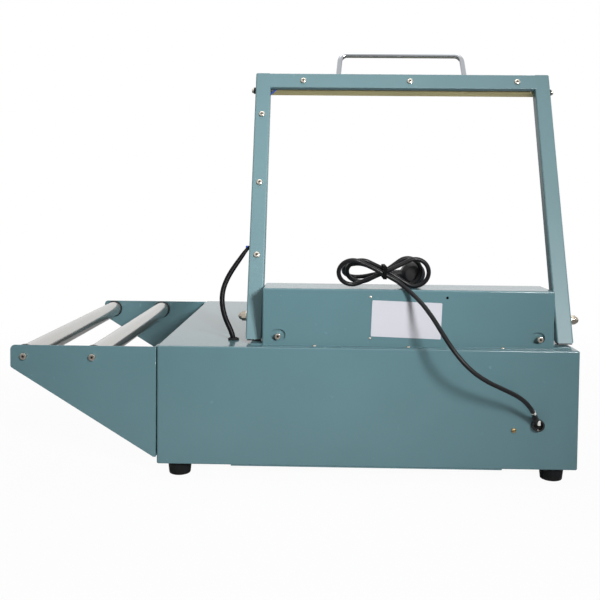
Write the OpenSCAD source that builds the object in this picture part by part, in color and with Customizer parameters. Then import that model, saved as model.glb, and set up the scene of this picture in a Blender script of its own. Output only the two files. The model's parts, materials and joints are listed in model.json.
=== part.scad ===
// Table-top L-bar bag sealer with a raised sealing arm and a film roller cradle.
// Millimetres. +X is the operator's right (the roller side), -Y the front, +Z up.
// The origin lies on the floor, under the middle of the machine's box without its mains lead.

/* [Cabinet] */
// Width of the cabinet
cab_w = 620; // [560:1:700]
// Depth of the cabinet
cab_d = 520; // [480:1:580]
// Height of the cabinet box
cab_h = 176; // [140:1:220]
// Thickness of the sheet metal
sheet = 1.5; // [1:0.1:2]
// Outer radius of the upright bends
bend_r = 3; // [2.5:0.5:5]
// Width of the bottom cover
cover_w = 400; // [340:1:460]
// Thickness of the bottom cover
cover_t = 2; // [1:0.5:3]
// Lap of the bottom cover on the cabinet
cover_lap = 10; // [8:1:14]
// Distance of the bottom cover from the front and rear faces
cover_edge = 2; // [1:0.5:6]

/* [Feet] */
// Height of a rubber foot
foot_h = 22; // [16:1:30]
// Diameter of a foot at the cabinet
foot_d = 37; // [30:1:44]
// Diameter of a foot at the floor
foot_low_d = 32; // [26:1:40]
// Distance of a foot's axis from the cabinet's faces
foot_in = 30; // [24:1:40]

/* [Sealing arm] */
// Width over the two posts
arm_w = 492; // [440:1:520]
// Length of the arm from the pivot to its front end
arm_l = 416; // [380:1:440]
// Length of the posts behind the pivot
heel_l = 38; // [34:0.5:40]
// Width of a post and of the front bar
post_w = 25; // [22:0.5:28]
// Depth of a post
post_t = 20; // [18:0.5:22]
// Wall of the posts and of the front bar
post_wall = 1.5; // [1.2:0.1:2]
// Depth of the front bar's folded channel
bar_t = 9; // [8:0.5:10]
// Set-back of the front bar from the posts' ends
bar_set = 1.5; // [0.5:0.5:3]
// Angle of the raised arm above the table
arm_angle = 69; // [60:0.5:75]
// Height of the pivot above the table
pivot_h = 38; // [37:0.5:44]
// Distance of the pivot from the rear face
pivot_in = 53.5; // [50:0.5:58]

/* [Hinge cover] */
// Height of the hinge cover
hump_h = 86; // [80:1:100]
// Depth of the hinge cover
hump_d = 77; // [74:1:90]
// Distance of the hinge cover from the rear face
hump_in = 10; // [9:0.5:14]
// Gap between the hinge cover and the heated post
gap_r = 4.5; // [4.3:0.1:8]
// Gap between the hinge cover and the plain post
gap_l = 11.5; // [8:0.5:16]
// Width of the hinge cover's foot flange
flange_w = 8; // [7:0.5:9]
// Distance between the flange screws
flange_pitch = 138; // [110:1:150]
// Width of the oblong access holes for the spring screws
access_w = 22; // [18:0.5:24]
// Height of the access holes
access_h = 16.5; // [14:0.5:18]

/* [Hinge] */
// Diameter of the pivot shaft
shaft_d = 10; // [8:0.5:12]
// Outer diameter of a hinge bush
bush_d = 14; // [13:0.5:16]
// Thickness of the hinge bracket's plates
plate_t = 3; // [2.5:0.5:4]
// Reach of the hinge bracket into the hinge cover
bracket_in = 48; // [46:1:56]
// Radius of the lift crank
crank_r = 25; // [22:1:28]
// Distance of the lift spring from the hinge cover's end
spring_in = 20.6; // [19:0.2:22]
// Height of the spring screw above the table
tension_h = 15.5; // [14:0.5:17]
// Diameter of the spring screw
tension_d = 6; // [5:0.5:7]
// Outer diameter of the lift spring
spring_d = 12; // [10:0.5:13]
// Wire of the lift spring
spring_wire = 1.8; // [1.4:0.1:2]
// Turns of the lift spring
spring_turns = 7; // [5:1:8]
// Width across the flats of a dome nut
nut_af = 13; // [12:0.5:15]
// Height of a dome nut
nut_h = 12; // [11:0.5:15]
// Thickness of the washer under a dome nut
washer_t = 1.4; // [1:0.1:2]

/* [Sealing jaws] */
// Depth of the upper carrier below the pivot line
carrier_low = 20; // [18:0.5:21]
// Width of the side carrier
carrier_w = 18; // [15:0.5:19]
// Width of the front carrier
front_carrier_w = 23; // [18:0.5:24]
// Distance of the front carrier's top below the pivot line
carrier_drop = 3; // [1:0.5:5]
// Width of a heating band
band_w = 4; // [3:0.5:6]
// Thickness of a heating band
band_t = 0.4; // [0.3:0.1:0.6]
// Thickness of the non-stick tape
tape_t = 0.3; // [0.2:0.1:0.5]
// Gap between the tape and the pad with the arm down
seal_gap = 0.3; // [0.2:0.1:0.6]
// Width of the lower jaw
jaw_w = 16; // [15:0.5:18]
// Width of the silicone pad
pad_w = 14; // [10:0.5:15]
// Height of the silicone pad
pad_h = 6; // [4:0.5:8]
// Distance from the pivot to the rear end of the side seal
side_start = 70; // [66:1:110]
// Distance from the pivot to the first screw of the heated post
post_screw_u = 95; // [85:1:105]
// Distance between the screws of the heated post
post_screw_pitch = 122; // [100:1:124]
// Place of the front bar's first screw
bar_screw_x = -256; // [-262:1:-240]
// Distance between the front bar's screws
bar_screw_pitch = 179; // [150:1:184]
// Diameter of the carrier screws
screw_d = 5; // [4:0.5:5.5]

/* [Handle] */
// Diameter of the handle's rod
handle_d = 8; // [6:0.5:8.5]
// Distance between the handle's legs
handle_w = 212; // [160:1:240]
// Place of the handle's middle
handle_x = -63; // [-80:1:-50]
// Height of the handle above the front bar
handle_h = 40; // [30:1:45]
// Inward lean of the handle's legs, in degrees
handle_lean = 5; // [0:0.5:8]
// Radius of the handle's bends
handle_r = 13; // [10:1:16]

/* [Roller cradle] */
// Length of the roller brackets
cradle_l = 217.5; // [180:0.5:240]
// Thickness of a roller bracket
cradle_t = 2; // [1.5:0.5:3]
// Drop of the brackets' top edge below the table
cradle_drop = 1.5; // [1:0.5:4]
// Height of the brackets' outer end
cradle_tip_h = 33; // [28:1:40]
// Height of the brackets' lower corner above the cabinet's bottom
cradle_low = 10; // [6:1:20]
// Radius of the brackets' outer corner
cradle_r = 7; // [4:0.5:9]
// Width of the brackets' fixing flange
cradle_flange = 25; // [20:1:32]
// Diameter of a roller
roller_d = 30; // [26:1:34]
// Wall of a roller tube
roller_wall = 2; // [1.5:0.5:3]
// Distance of the inner roller from the cabinet's side
roller_x = 95; // [80:1:100]
// Distance between the rollers
roller_pitch = 102; // [80:1:104]
// Drop of the roller axis below the table
roller_drop = 18; // [17:0.5:20]
// Diameter of a roller axle
axle_d = 10; // [8:0.5:12]

/* [Controls] */
// Place of the first control on the front face
control_x = 120; // [60:1:130]
// Distance between the controls
control_pitch = 46; // [40:1:50]
// Height of the controls above the cabinet's bottom
control_h = 92; // [70:1:110]
// Diameter of the timer knob
knob_d = 28; // [24:1:34]
// Reach of the timer knob from the front face
knob_reach = 18; // [16:1:22]
// Tilt of the power rocker to either side
rocker_tilt = 8; // [5:1:9]

/* [Mains lead] */
// Diameter of the mains lead
cord_d = 6.6; // [6:0.1:6.6]
// Diameter of the gland
gland_d = 18.5; // [16:0.5:22]
// Reach of the gland from the rear face
gland_reach = 7; // [5:0.5:9]
// Length of the gland's tapered relief
relief_l = 24; // [20:1:26]
// Diameter of the arm lead's sleeve
lead_d = 8; // [7:0.5:9]

/* [Hidden] */
$fn = 48;

// Running and sliding clearances
run_gap = 0.05;
hole_gap = 0.2;
ear_gap = 0.7;
face_gap = 0.3;

// Colours
paint = "#63878c";
nickel = "#c9c4ba";
black = "#1c1c1d";
laminate = "#98916a";

// Heights and faces of the cabinet, from its own middle
base_z = foot_h;
table_z = base_z + cab_h;
rear_y = cab_d / 2;
front_y = -cab_d / 2;
side_x = cab_w / 2;
roller_head_h = 5;
cab_x = (washer_t + nut_h - cradle_l) / 2;
cab_y = (knob_reach - roller_head_h) / 2;
cover_d = cab_d - 2 * cover_edge;

// Arm, hinge and hinge cover places
arm_x0 = -side_x;
arm_x1 = arm_x0 + arm_w;
bar_x0 = arm_x0 + post_w;
bar_x1 = arm_x1 - post_w;
pivot_y = rear_y - pivot_in;
pivot_z = table_z + pivot_h;
hump_x0 = bar_x0 + gap_l;
hump_x1 = bar_x1 - gap_r;
hump_cx = (hump_x0 + hump_x1) / 2;
hump_rear = rear_y - hump_in;
hump_front = hump_rear - hump_d;
hump_top = table_z + hump_h;
plate_rear = hump_rear - sheet - 2 - pivot_y;
plate_front = 22;
access_up = 1.2;
access_shift = 2.8;
ear_r = bush_d / 2 + 7;
tab_h = tension_h + 10;
heel_low = heel_l - post_t / tan(arm_angle);
seal_u = arm_l - bar_set - post_w / 2;
seal_x = arm_x1 - post_w / 2;
seal_y = pivot_y - seal_u;
jaw_h = pivot_h - carrier_low - band_t - tape_t - seal_gap - pad_h;
tongue_top = -post_t / 2 - face_gap;
side_front = seal_u - front_carrier_w / 2 - 1;
handle_n = post_t / 2 - (bar_t + post_wall) / 2;
terminal_u = arm_l - 28;
lead_u = 111;
switch_h = 13;
cam_r = 16;
cam_half = 4;

// Fasteners
head_h = 3.2;
head_d = 2 * screw_d;
plate_screw_d = 6;
small_screw_d = 3;
foot_screw_d = 5;
handle_screw_d = 4;
handle_screw_l = 12.5;
handle_head_d = 6.5;
handle_head_h = 2.2;
plate_head_d = 10;

// Rollers, from the cabinet's side
axle_z = table_z - roller_drop;
roller_cap = 3;
roller_side_gap = 2;
roller_in = rear_y - cradle_t - roller_side_gap;

// Controls
control_z = base_z + control_h;
lamp_x = control_x;
switch_x = control_x + control_pitch;
knob_x = control_x + 2 * control_pitch;
pot_shaft_d = 6;

// Mains lead: points chosen by hand from the gland to the hinge cover's rear edge
gland_x = -250;
gland_z = 89;
gland_way = unit([0.36, 0.64, 0.68]);
gland_mouth = [gland_x, rear_y + 1, gland_z];
cord_route = [
    each [for (t = [7, 16, 25, 32]) gland_mouth + t * gland_way],
    [-233, 289, 119], [-226, 297, 127.5], [-217, 305.5, 136.5], [-205, 314.5, 145], [-190, 321.5, 153],
    [-171, 327, 162], [-152, 330, 172], [-135, 331, 185.5], [-121, 329, 200.5], [-110, 324, 215.5],
    [-101, 316, 230], [-92, 304.5, 245.5], [-83, 292, 259], [-75, 278.5, 269], [-68, 266.5, 276],
    [-60.5, 257.5, 282.5], [-52, 252, 289.5]];
// Figure-of-eight hank on the hinge cover: round loops to the right and left by turns, each [x, radius, lean];
// each loop leans about the hank's middle line, which fans the strands out
loops = [[22.5, 20.6, -24], [-70.5, 20.6, -6], [9, 21.2, -36], [-61, 20.6, -6], [14, 20.6, -55]];
loop_steps = 15;
run_steps = 5;
hank_x = -25;
hank_y = 250;
hank_depth = 45;
hank_low = hump_top + cord_d / 2 + face_gap;
hank_start = [-40, 298.2];
plug_y = 197;
plug_z = 303;
// Last stretch, from the lowest point of the last loop to the plug
function tail_point(s) =
    let (rise = s < 0.5 ? 2 * s * s : 1 - 2 * (1 - s) * (1 - s))
    [hank_last[0] - 42 * s, hank_last[1] + (plug_y - hank_last[1]) * rise, hank_last[2] + (plug_z - hank_last[2]) * rise];
// Arm lead from the table grommet to the heated post
lead_x = 203;
lead_y = 200;
lead_route = [
    [203, 200, 196], [203.5, 199.7, 206], [208, 198, 217], [215.5, 195, 231], [221, 190.5, 249],
    [222, 185, 268], [218.5, 180, 286], [211, 175.5, 304], [202, 171.5, 319], [194, 168.8, 331],
    [188, 167.2, 337.5], [182.3, 166.7, 340]];

module in_cabinet() {
    translate([cab_x, cab_y, 0]) children();
}

// Local frame of a hinge: x outwards from the hinge cover's end, y from the pivot, z from the table
module at_hinge(side) {
    in_cabinet()
        translate([side > 0 ? hump_x1 : hump_x0, pivot_y, table_z])
            mirror([side > 0 ? 0 : 1, 0, 0]) children();
}

// Local frame of the lowered arm: pivot at the origin, front end towards -y
module arm_frame() {
    in_cabinet() translate([0, pivot_y, pivot_z]) rotate([-arm_angle, 0, 0]) children();
}

// The same, for what turns inside the hinge cover
module arm_hinge(side) {
    at_hinge(side) translate([0, 0, pivot_h]) rotate([-arm_angle, 0, 0]) children();
}

function side_gap(side) = side > 0 ? gap_r : gap_l;

module box(low, high) {
    translate(low) cube(high - low);
}

module rod_x(d, x0, x1, y, z) {
    translate([x0, y, z]) rotate([0, 90, 0]) cylinder(d = d, h = x1 - x0);
}

module rod_y(d, y0, y1, x, z) {
    translate([x, y0, z]) rotate([-90, 0, 0]) cylinder(d = d, h = y1 - y0);
}

module rod_z(d, z0, z1, x, y) {
    translate([x, y, z0]) cylinder(d = d, h = z1 - z0);
}

module rounded_plate(w, d, r) {
    square([w - 2 * r, d], center = true);
    square([w, d - 2 * r], center = true);
    for (x = [-1, 1], y = [-1, 1])
        translate([x * (w / 2 - r), y * (d / 2 - r)]) circle(r);
}

// Extrudes a profile drawn in Y and Z along X
module extrude_x(x0, x1) {
    translate([x0, 0, 0]) rotate([90, 0, 90]) linear_extrude(x1 - x0) children();
}

// Places that several pieces share
module at_feet() {
    for (x = [-1, 1], y = [-1, 1])
        translate([x * (side_x - foot_in), y * (rear_y - foot_in), 0]) children();
}

module at_cover_screws() {
    for (x = [-1, 1], y = [-1, 0, 1])
        translate([x * (cover_w - cover_lap) / 2, y * (cover_d / 2 - 40), 0]) children();
}

module at_flange_screws() {
    for (k = [-1, 0, 1], y = [hump_rear + flange_w / 2 + 0.5, hump_front - flange_w / 2 - 0.5])
        translate([hump_cx + k * flange_pitch, y, table_z]) children();
}

module at_bracket_screws(side) {
    at_hinge(side) for (p = [[-11, -14], [-38, 24]]) translate([p[0], p[1], 0]) children();
}

// Fixing bolts of the roller brackets, on the cabinet's side wall
module at_cradle_bolts() {
    for (y = [-1, 1], z = [-1, 0, 1])
        translate([side_x, y * (rear_y - cradle_t - cradle_flange / 2), base_z + cab_h / 2 + z * cab_h / 3])
            rotate([0, 90, 0]) children();
}

// Tube swept along points: rings of `sides` corners joined by triangles
function unit(v) = v / norm(v);
function tangent(p, i) = unit(p[min(i + 1, len(p) - 1)] - p[max(i - 1, 0)]);
function turn_frame(a, old_t, new_t) = unit(a - new_t * (a * new_t) / (new_t * new_t));
function frames(p, i = 0, acc = [], up = [0.31, 0.27, 0.91]) =
    i == len(p) ? acc :
    let (t = tangent(p, i), a = turn_frame(up, t, t))
    frames(p, i + 1, concat(acc, [[a, cross(t, a)]]), a);

module tube(p, d, sides) {
    f = frames(p);
    n = len(p);
    rings = [for (i = [0 : n - 1], k = [0 : sides - 1])
        p[i] + d / 2 * (cos(360 * k / sides) * f[i][0] + sin(360 * k / sides) * f[i][1])];
    ends = [p[0], p[n - 1]];
    at = function(i, k) i * sides + k % sides;
    walls = [for (i = [0 : n - 2], k = [0 : sides - 1], half = [0, 1])
        half == 0 ? [at(i, k), at(i + 1, k), at(i, k + 1)] : [at(i, k + 1), at(i + 1, k), at(i + 1, k + 1)]];
    first = [for (k = [0 : sides - 1]) [n * sides, at(0, k), at(0, k + 1)]];
    last = [for (k = [0 : sides - 1]) [n * sides + 1, at(n - 1, k + 1), at(n - 1, k)]];
    polyhedron(points = concat(rings, ends), faces = concat(walls, first, last));
}

// A route with n steps for each of its own
function fine_line(p, n) =
    concat([for (i = [0 : len(p) - 2], k = [0 : n - 1]) p[i] + (p[i + 1] - p[i]) * k / n], [p[len(p) - 1]]);
// Least distance between stretches of a route that are more than `apart` points from each other
function least_gap(p, apart, d) =
    min([for (i = [0 : len(p) - 1], j = [i + apart : 1 : len(p) - 1]) norm(p[i] - p[j])]) - d;

// The hank in X and Z: each straight run touches two loops, even loops turn one way and odd loops the other
function way(v) = (atan2(v[1], v[0]) + 360) % 360;
function loop_at(k) = [loops[k][0], hank_low + loops[k][1]];
function run_way(k) =
    k == 0 ? let (v = loop_at(0) - hank_start) way(v) + asin(loops[0][1] / norm(v)) :
    k == len(loops) ? 180 :
    let (v = loop_at(k) - loop_at(k - 1), lean = asin((loops[k][1] + loops[k - 1][1]) / norm(v)))
    k % 2 == 0 ? (way(v) + 90) % 360 - 90 + lean : way(v) - lean;
function loop_from(k) = run_way(k) + (k % 2 == 0 ? 90 : -90);
function loop_to(k) = run_way(k + 1) + (k % 2 == 0 ? -270 : 270);
function loop_point(k, s) =
    let (a = loop_from(k) + (loop_to(k) - loop_from(k)) * s) loop_at(k) + loops[k][1] * [cos(a), sin(a)];
function run_start(k) = k == 0 ? hank_start : loop_point(k - 1, 1);
// A flat point [x, z] on the way from loop k - 1 to loop k, leaned about the hank's middle line
function leaned(p, k, s) =
    let (
        blend = s * s * (3 - 2 * s),
        lean_0 = k == 0 ? 0 : loops[k - 1][2],
        mid_0 = loop_at(max(k - 1, 0))[1],
        lean = lean_0 + (loops[k][2] - lean_0) * blend,
        mid = mid_0 + (loop_at(k)[1] - mid_0) * blend
    ) [p[0], -sin(lean) * (p[1] - mid), mid + cos(lean) * (p[1] - mid)];
hank_bent = [for (k = [0 : len(loops) - 1]) each concat(
    [for (i = [(k == 0 ? 0 : 1) : run_steps - 1])
        leaned(run_start(k) + (loop_point(k, 0) - run_start(k)) * i / run_steps, k, i / run_steps)],
    [for (i = [0 : loop_steps]) leaned(loop_point(k, i / loop_steps), k, 1)])];
hank_turns = [for (i = [0 : len(hank_bent) - 1]) hank_bent[i] + [0, hank_y - hank_depth * i / (len(hank_bent) - 1), 0]];
hank_last = hank_turns[len(hank_turns) - 1];
hank_route = concat(hank_turns, [for (s = [1 : 7]) tail_point(s / 7)], [[-31, plug_y, plug_z]]);
hank_first = hank_turns[0];
hank_dir = unit(hank_turns[1] - hank_first);

// Cabinet

module cabinet_shell() {
    color(paint) difference() {
        in_cabinet() difference() {
            translate([0, 0, base_z]) linear_extrude(cab_h) rounded_plate(cab_w, cab_d, bend_r);
            translate([0, 0, base_z + sheet]) linear_extrude(cab_h - 2 * sheet)
                rounded_plate(cab_w - 2 * sheet, cab_d - 2 * sheet, bend_r - sheet);
            box([cover_lap - cover_w / 2, cover_lap - cover_d / 2, base_z - 1],
                [cover_w / 2 - cover_lap, cover_d / 2 - cover_lap, base_z + sheet + 1]);
            at_cover_screws() rod_z(screw_d + 2 * hole_gap, base_z - 1, base_z + sheet + 1, 0, 0);
            at_feet() rod_z(foot_screw_d + 2 * hole_gap, base_z - 1, base_z + sheet + 1, 0, 0);
            at_flange_screws() rod_z(small_screw_d + 2 * hole_gap, -sheet - 1, 1, 0, 0);
            at_cradle_bolts() rod_z(plate_screw_d + 2 * hole_gap, -sheet - 1, 1, 0, 0);
            rod_y(gland_d - 6 + 2 * hole_gap, rear_y - sheet - 1, rear_y + 1, gland_x, gland_z);
            rod_y(4 + 2 * hole_gap, rear_y - sheet - 1, rear_y + 1, earth_at[0], earth_at[1]);
            rod_z(lead_d + 3 + 2 * hole_gap, table_z - sheet - 1, table_z + 1, lead_x, lead_y);
            box([switch_x - 9.5, front_y - 1, control_z - 14.5],
                [switch_x + 9.5, front_y + sheet + 1, control_z + 14.5]);
            rod_y(9 + 2 * hole_gap, front_y - 1, front_y + sheet + 1, knob_x, control_z);
            rod_y(10 + 2 * hole_gap, front_y - 1, front_y + sheet + 1, lamp_x, control_z);
        }
        for (side = [-1, 1])
            at_bracket_screws(side) rod_z(plate_screw_d + 2 * hole_gap, -sheet - 1, 1, 0, 0);
    }
}

module bottom_cover() {
    slot_w = 5;
    slot_l = 60;
    color(paint) in_cabinet() difference() {
        box([-cover_w / 2, -cover_d / 2, base_z - cover_t], [cover_w / 2, cover_d / 2, base_z]);
        at_cover_screws() rod_z(screw_d + 2 * hole_gap, base_z - cover_t - 1, base_z + 1, 0, 0);
        for (k = [-4 : 4], y = [-cover_d / 3, cover_d / 3 - slot_l])
            box([k * 3 * slot_w - slot_w / 2, y, base_z - cover_t - 1],
                [k * 3 * slot_w + slot_w / 2, y + slot_l, base_z + 1]);
    }
}

module pan_screw(d, head, reach) {
    cylinder(d = head, h = head_h);
    translate([0, 0, -reach]) cylinder(d = d, h = reach);
}

module bottom_cover_screws() {
    color(nickel) in_cabinet() at_cover_screws()
        translate([0, 0, base_z - cover_t]) mirror([0, 0, 1]) pan_screw(screw_d, head_d, cover_t + sheet + 4);
}

module rubber_feet() {
    color(black) in_cabinet() at_feet() difference() {
        cylinder(d1 = foot_low_d, d2 = foot_d, h = foot_h);
        rod_z(2.4 * foot_screw_d, -1, foot_h / 2, 0, 0);
        rod_z(foot_screw_d + 2 * hole_gap, -1, foot_h + 1, 0, 0);
    }
}

module foot_screws() {
    color(nickel) in_cabinet() at_feet()
        translate([0, 0, foot_h / 2]) mirror([0, 0, 1])
            pan_screw(foot_screw_d, 2 * foot_screw_d, foot_h / 2 + sheet + 5);
}

// Hinge cover

module hinge_cover() {
    notch = plate_t + 0.4;
    color(paint) difference() {
        in_cabinet() difference() {
            union() {
                box([hump_x0, hump_front, table_z], [hump_x1, hump_rear, hump_top]);
                box([hump_x0, hump_front - flange_w, table_z],
                    [hump_x1, hump_rear + flange_w, table_z + sheet]);
            }
            box([hump_x0 + sheet, hump_front + sheet, table_z - 1],
                [hump_x1 - sheet, hump_rear - sheet, hump_top - sheet]);
            at_flange_screws() rod_z(small_screw_d + 2 * hole_gap, -1, sheet + 1, 0, 0);
            for (x = [hump_x1 - spring_in, hump_x0 + spring_in + access_shift], s = [-1, 1])
                rod_y(access_h, hump_rear - sheet - 1, hump_rear + 1,
                    x + s * (access_w - access_h) / 2, table_z + tension_h + access_up);
            for (x = [hump_x1 - spring_in, hump_x0 + spring_in + access_shift])
                translate([x, hump_rear, table_z + tension_h + access_up])
                    cube([access_w - access_h, 2 * sheet + 2, access_h], center = true);
        }
        for (side = [-1, 1]) at_hinge(side) {
            rod_x(shaft_d + 6, -sheet - 1, 1, 0, pivot_h);
            box([-sheet - 1, -plate_front - 0.5, -1], [1, plate_rear + 0.5, notch]);
        }
    }
}

module hinge_cover_screws() {
    color(nickel) in_cabinet() at_flange_screws()
        translate([0, 0, sheet]) {
            cylinder(d = 2 * small_screw_d, h = 2);
            translate([0, 0, -2 * sheet - 4]) cylinder(d = small_screw_d, h = 2 * sheet + 4);
        }
}

// Hinge

module hinge_bracket(side) {
    ear_x = [ear_gap, -bracket_in];
    color(paint) difference() {
        at_hinge(side) difference() {
            union() {
                box([-bracket_in, -plate_front, 0], [side_gap(side) + post_w - 9, plate_rear, plate_t]);
                for (x = ear_x) {
                    box([x, -ear_r, plate_t / 2], [x + plate_t, ear_r, pivot_h]);
                    rod_x(2 * ear_r, x, x + plate_t, 0, pivot_h);
                }
                box([-bracket_in, plate_rear - plate_t, plate_t / 2], [-sheet - 1, plate_rear, tab_h]);
            }
            for (x = ear_x) rod_x(bush_d + 2 * run_gap, x - 1, x + plate_t + 1, 0, pivot_h);
            rod_y(tension_d + 2 * hole_gap, plate_rear - plate_t - 1, plate_rear + 1, -spring_in, tension_h);
        }
        at_bracket_screws(side) rod_z(plate_screw_d + 2 * hole_gap, -1, plate_t + 1, 0, 0);
    }
}

module hinge_bracket_right() {
    hinge_bracket(1);
}

module hinge_bracket_left() {
    hinge_bracket(-1);
}

module hinge_bracket_screws() {
    color(nickel) for (side = [-1, 1]) at_bracket_screws(side)
        translate([0, 0, plate_t]) pan_screw(plate_screw_d, plate_head_d, plate_t + sheet + 5);
}

module hinge_bushes() {
    color("#a8793c") for (side = [-1, 1]) at_hinge(side) for (x = [ear_gap, -bracket_in]) difference() {
        rod_x(bush_d, x, x + plate_t, 0, pivot_h);
        rod_x(shaft_d + 2 * run_gap, x - 1, x + plate_t + 1, 0, pivot_h);
    }
}

module pivot_shafts() {
    thread_d = shaft_d - 2;
    color(nickel) for (side = [-1, 1]) at_hinge(side) {
        post_end = side_gap(side) + post_w;
        rod_x(shaft_d, -bracket_in - 4, post_end, 0, pivot_h);
        rod_x(thread_d, post_end, post_end + washer_t + nut_h / 2, 0, pivot_h);
    }
}

module pivot_spacers() {
    color("#e9e4d8") for (side = [-1, 1]) at_hinge(side) difference() {
        rod_x(shaft_d + 8, ear_gap + plate_t + 0.15, side_gap(side), 0, pivot_h);
        rod_x(shaft_d + 2 * run_gap, ear_gap, side_gap(side) + 1, 0, pivot_h);
    }
}

module pivot_washers() {
    color(nickel) for (side = [-1, 1]) at_hinge(side) difference() {
        x = side_gap(side) + post_w;
        rod_x(nut_af + 4, x, x + washer_t, 0, pivot_h);
        rod_x(shaft_d - 2 + 2 * hole_gap, x - 1, x + washer_t + 1, 0, pivot_h);
    }
}

module dome_nuts() {
    dome_r = nut_af / 2 - 0.8;
    hex_h = nut_h - dome_r;
    color(nickel) for (side = [-1, 1]) at_hinge(side)
        translate([side_gap(side) + post_w + washer_t, 0, pivot_h]) rotate([0, 90, 0]) difference() {
            union() {
                cylinder(d = nut_af / cos(30), h = hex_h, $fn = 6);
                translate([0, 0, hex_h]) sphere(dome_r);
            }
            translate([0, 0, -dome_r]) cylinder(d = 3 * nut_af, h = dome_r);
            translate([0, 0, -1]) cylinder(d = shaft_d - 2 + 2 * run_gap, h = nut_h / 2 + 1.2);
        }
}

// Crank on each pivot shaft, with the spring's pin and, on the roller side, the switch's cam
module lift_crank(side) {
    hub_x = 0.5 + plate_t - bracket_in;
    arm_x = -spring_in - spring_d / 2 - 4;
    eye_d = 14;
    color("#5d6165") arm_hinge(side) difference() {
        union() {
            rod_x(2 * shaft_d, hub_x, arm_x, 0, 0);
            box([arm_x - 5, -eye_d / 2, 0], [arm_x, eye_d / 2, crank_r]);
            rod_x(eye_d, arm_x - 5, arm_x, 0, crank_r);
            rod_x(5, arm_x - 1, -spring_in + 6, 0, crank_r);
            if (side > 0) box([hub_x, -cam_half, -cam_r], [hub_x + 6, cam_half, 0]);
        }
        rod_x(shaft_d + 2 * run_gap, hub_x - 1, arm_x + 1, 0, 0);
    }
}

module lift_cranks() {
    for (side = [-1, 1]) lift_crank(side);
}

// Lift spring from the end of its screw to the crank's pin, in the hinge's frame
screw_tip = plate_rear - plate_t - 12;
pin_at = [-spring_in, crank_r * sin(arm_angle), pivot_h + crank_r * cos(arm_angle)];
spring_from = [-spring_in, screw_tip - spring_wire / 2 - face_gap, tension_h];
spring_axis = pin_at - spring_from;
spring_len = norm(spring_axis) - 2.5 - spring_wire / 2 - face_gap;
spring_side = [1, 0, 0];
spring_up = cross(unit(spring_axis), spring_side);
function spring_ramp(s) = max(0, min(1, (s - 0.12) / 0.1, (0.88 - s) / 0.1));
function spring_point(s) =
    spring_from + unit(spring_axis) * spring_len * s
    + (spring_d - spring_wire) / 2 * spring_ramp(s)
        * (cos(360 * spring_turns * s) * spring_side + sin(360 * spring_turns * s) * spring_up);
spring_route = [for (k = [0 : 8 * spring_turns]) spring_point(k / (8 * spring_turns))];

module lift_springs() {
    echo(spring_gap = least_gap(spring_route, 5, spring_wire));
    color("#8d9093") for (side = [-1, 1]) at_hinge(side) tube(spring_route, spring_wire, 6);
}

module spring_screws() {
    head_y = hump_rear - pivot_y + 2.5;
    nut_w = 1.7 * tension_d;
    color(nickel) for (side = [-1, 1]) at_hinge(side) {
        difference() {
            union() {
                rod_y(tension_d, screw_tip, head_y + 1, -spring_in, tension_h);
                rod_y(1.45 * tension_d, head_y, head_y + 5, -spring_in, tension_h);
            }
            translate([-spring_in, head_y + 2, tension_h]) rotate([-90, 0, 0])
                cylinder(d = 0.9 * tension_d, h = 4, $fn = 6);
        }
        difference() {
            translate([-spring_in, plate_rear - plate_t - 5, tension_h]) rotate([-90, 0, 0])
                cylinder(d = nut_w / cos(30), h = 5, $fn = 6);
            rod_y(tension_d + 2 * run_gap, screw_tip, plate_rear, -spring_in, tension_h);
        }
    }
}

// Switch under the cam of the roller-side crank
switch_cx = 3.5 + plate_t - bracket_in;
plunger_top = pivot_h - norm([cam_r, cam_half]) - face_gap;

module arm_switch() {
    color(black) at_hinge(1) difference() {
        box([switch_cx - 3, -10, plate_t], [switch_cx + 3, 10, plate_t + switch_h]);
        rod_z(3 + 2 * run_gap, plate_t + 4, plate_t + switch_h + 1, switch_cx, 0);
    }
}

module arm_switch_plunger() {
    color("#b23a2c") at_hinge(1) rod_z(3, plate_t + 7, plunger_top, switch_cx, 0);
}

// Roller cradle

module cradle_outline() {
    top = table_z - cradle_drop;
    tip = top - cradle_tip_h;
    low = base_z + cradle_low;
    difference() {
        polygon([[0, low], [5, low], [cradle_l, tip], [cradle_l, top], [0, top]]);
        translate([cradle_l - cradle_r, top - cradle_r]) difference() {
            square(cradle_r + 1);
            circle(cradle_r);
        }
    }
}

module at_axles() {
    for (x = [roller_x, roller_x + roller_pitch]) translate([x, 0, axle_z]) children();
}

// Bracket in its own frame: x from the cabinet's side, outer face at y 0, flange towards +y
module roller_bracket() {
    margin = 12;
    difference() {
        union() {
            translate([0, cradle_t, 0]) rotate([90, 0, 0]) linear_extrude(cradle_t) cradle_outline();
            box([0, cradle_t / 2, base_z + margin], [cradle_t, cradle_t + cradle_flange, table_z - margin]);
        }
        at_axles() rod_y(plate_screw_d + 2 * hole_gap, -1, cradle_t + 1, 0, 0);
    }
}

module roller_bracket_front() {
    color(paint) in_cabinet() difference() {
        translate([side_x, front_y, 0]) roller_bracket();
        at_cradle_bolts() rod_z(plate_screw_d + 2 * hole_gap, -1, cradle_t + 1, 0, 0);
    }
}

module roller_bracket_rear() {
    color(paint) in_cabinet() difference() {
        translate([side_x, rear_y, 0]) mirror([0, 1, 0]) roller_bracket();
        at_cradle_bolts() rod_z(plate_screw_d + 2 * hole_gap, -1, cradle_t + 1, 0, 0);
    }
}

module roller_bracket_bolts() {
    color(nickel) in_cabinet() at_cradle_bolts()
        translate([0, 0, cradle_t]) pan_screw(plate_screw_d, plate_head_d, cradle_t + sheet + 5);
}

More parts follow.
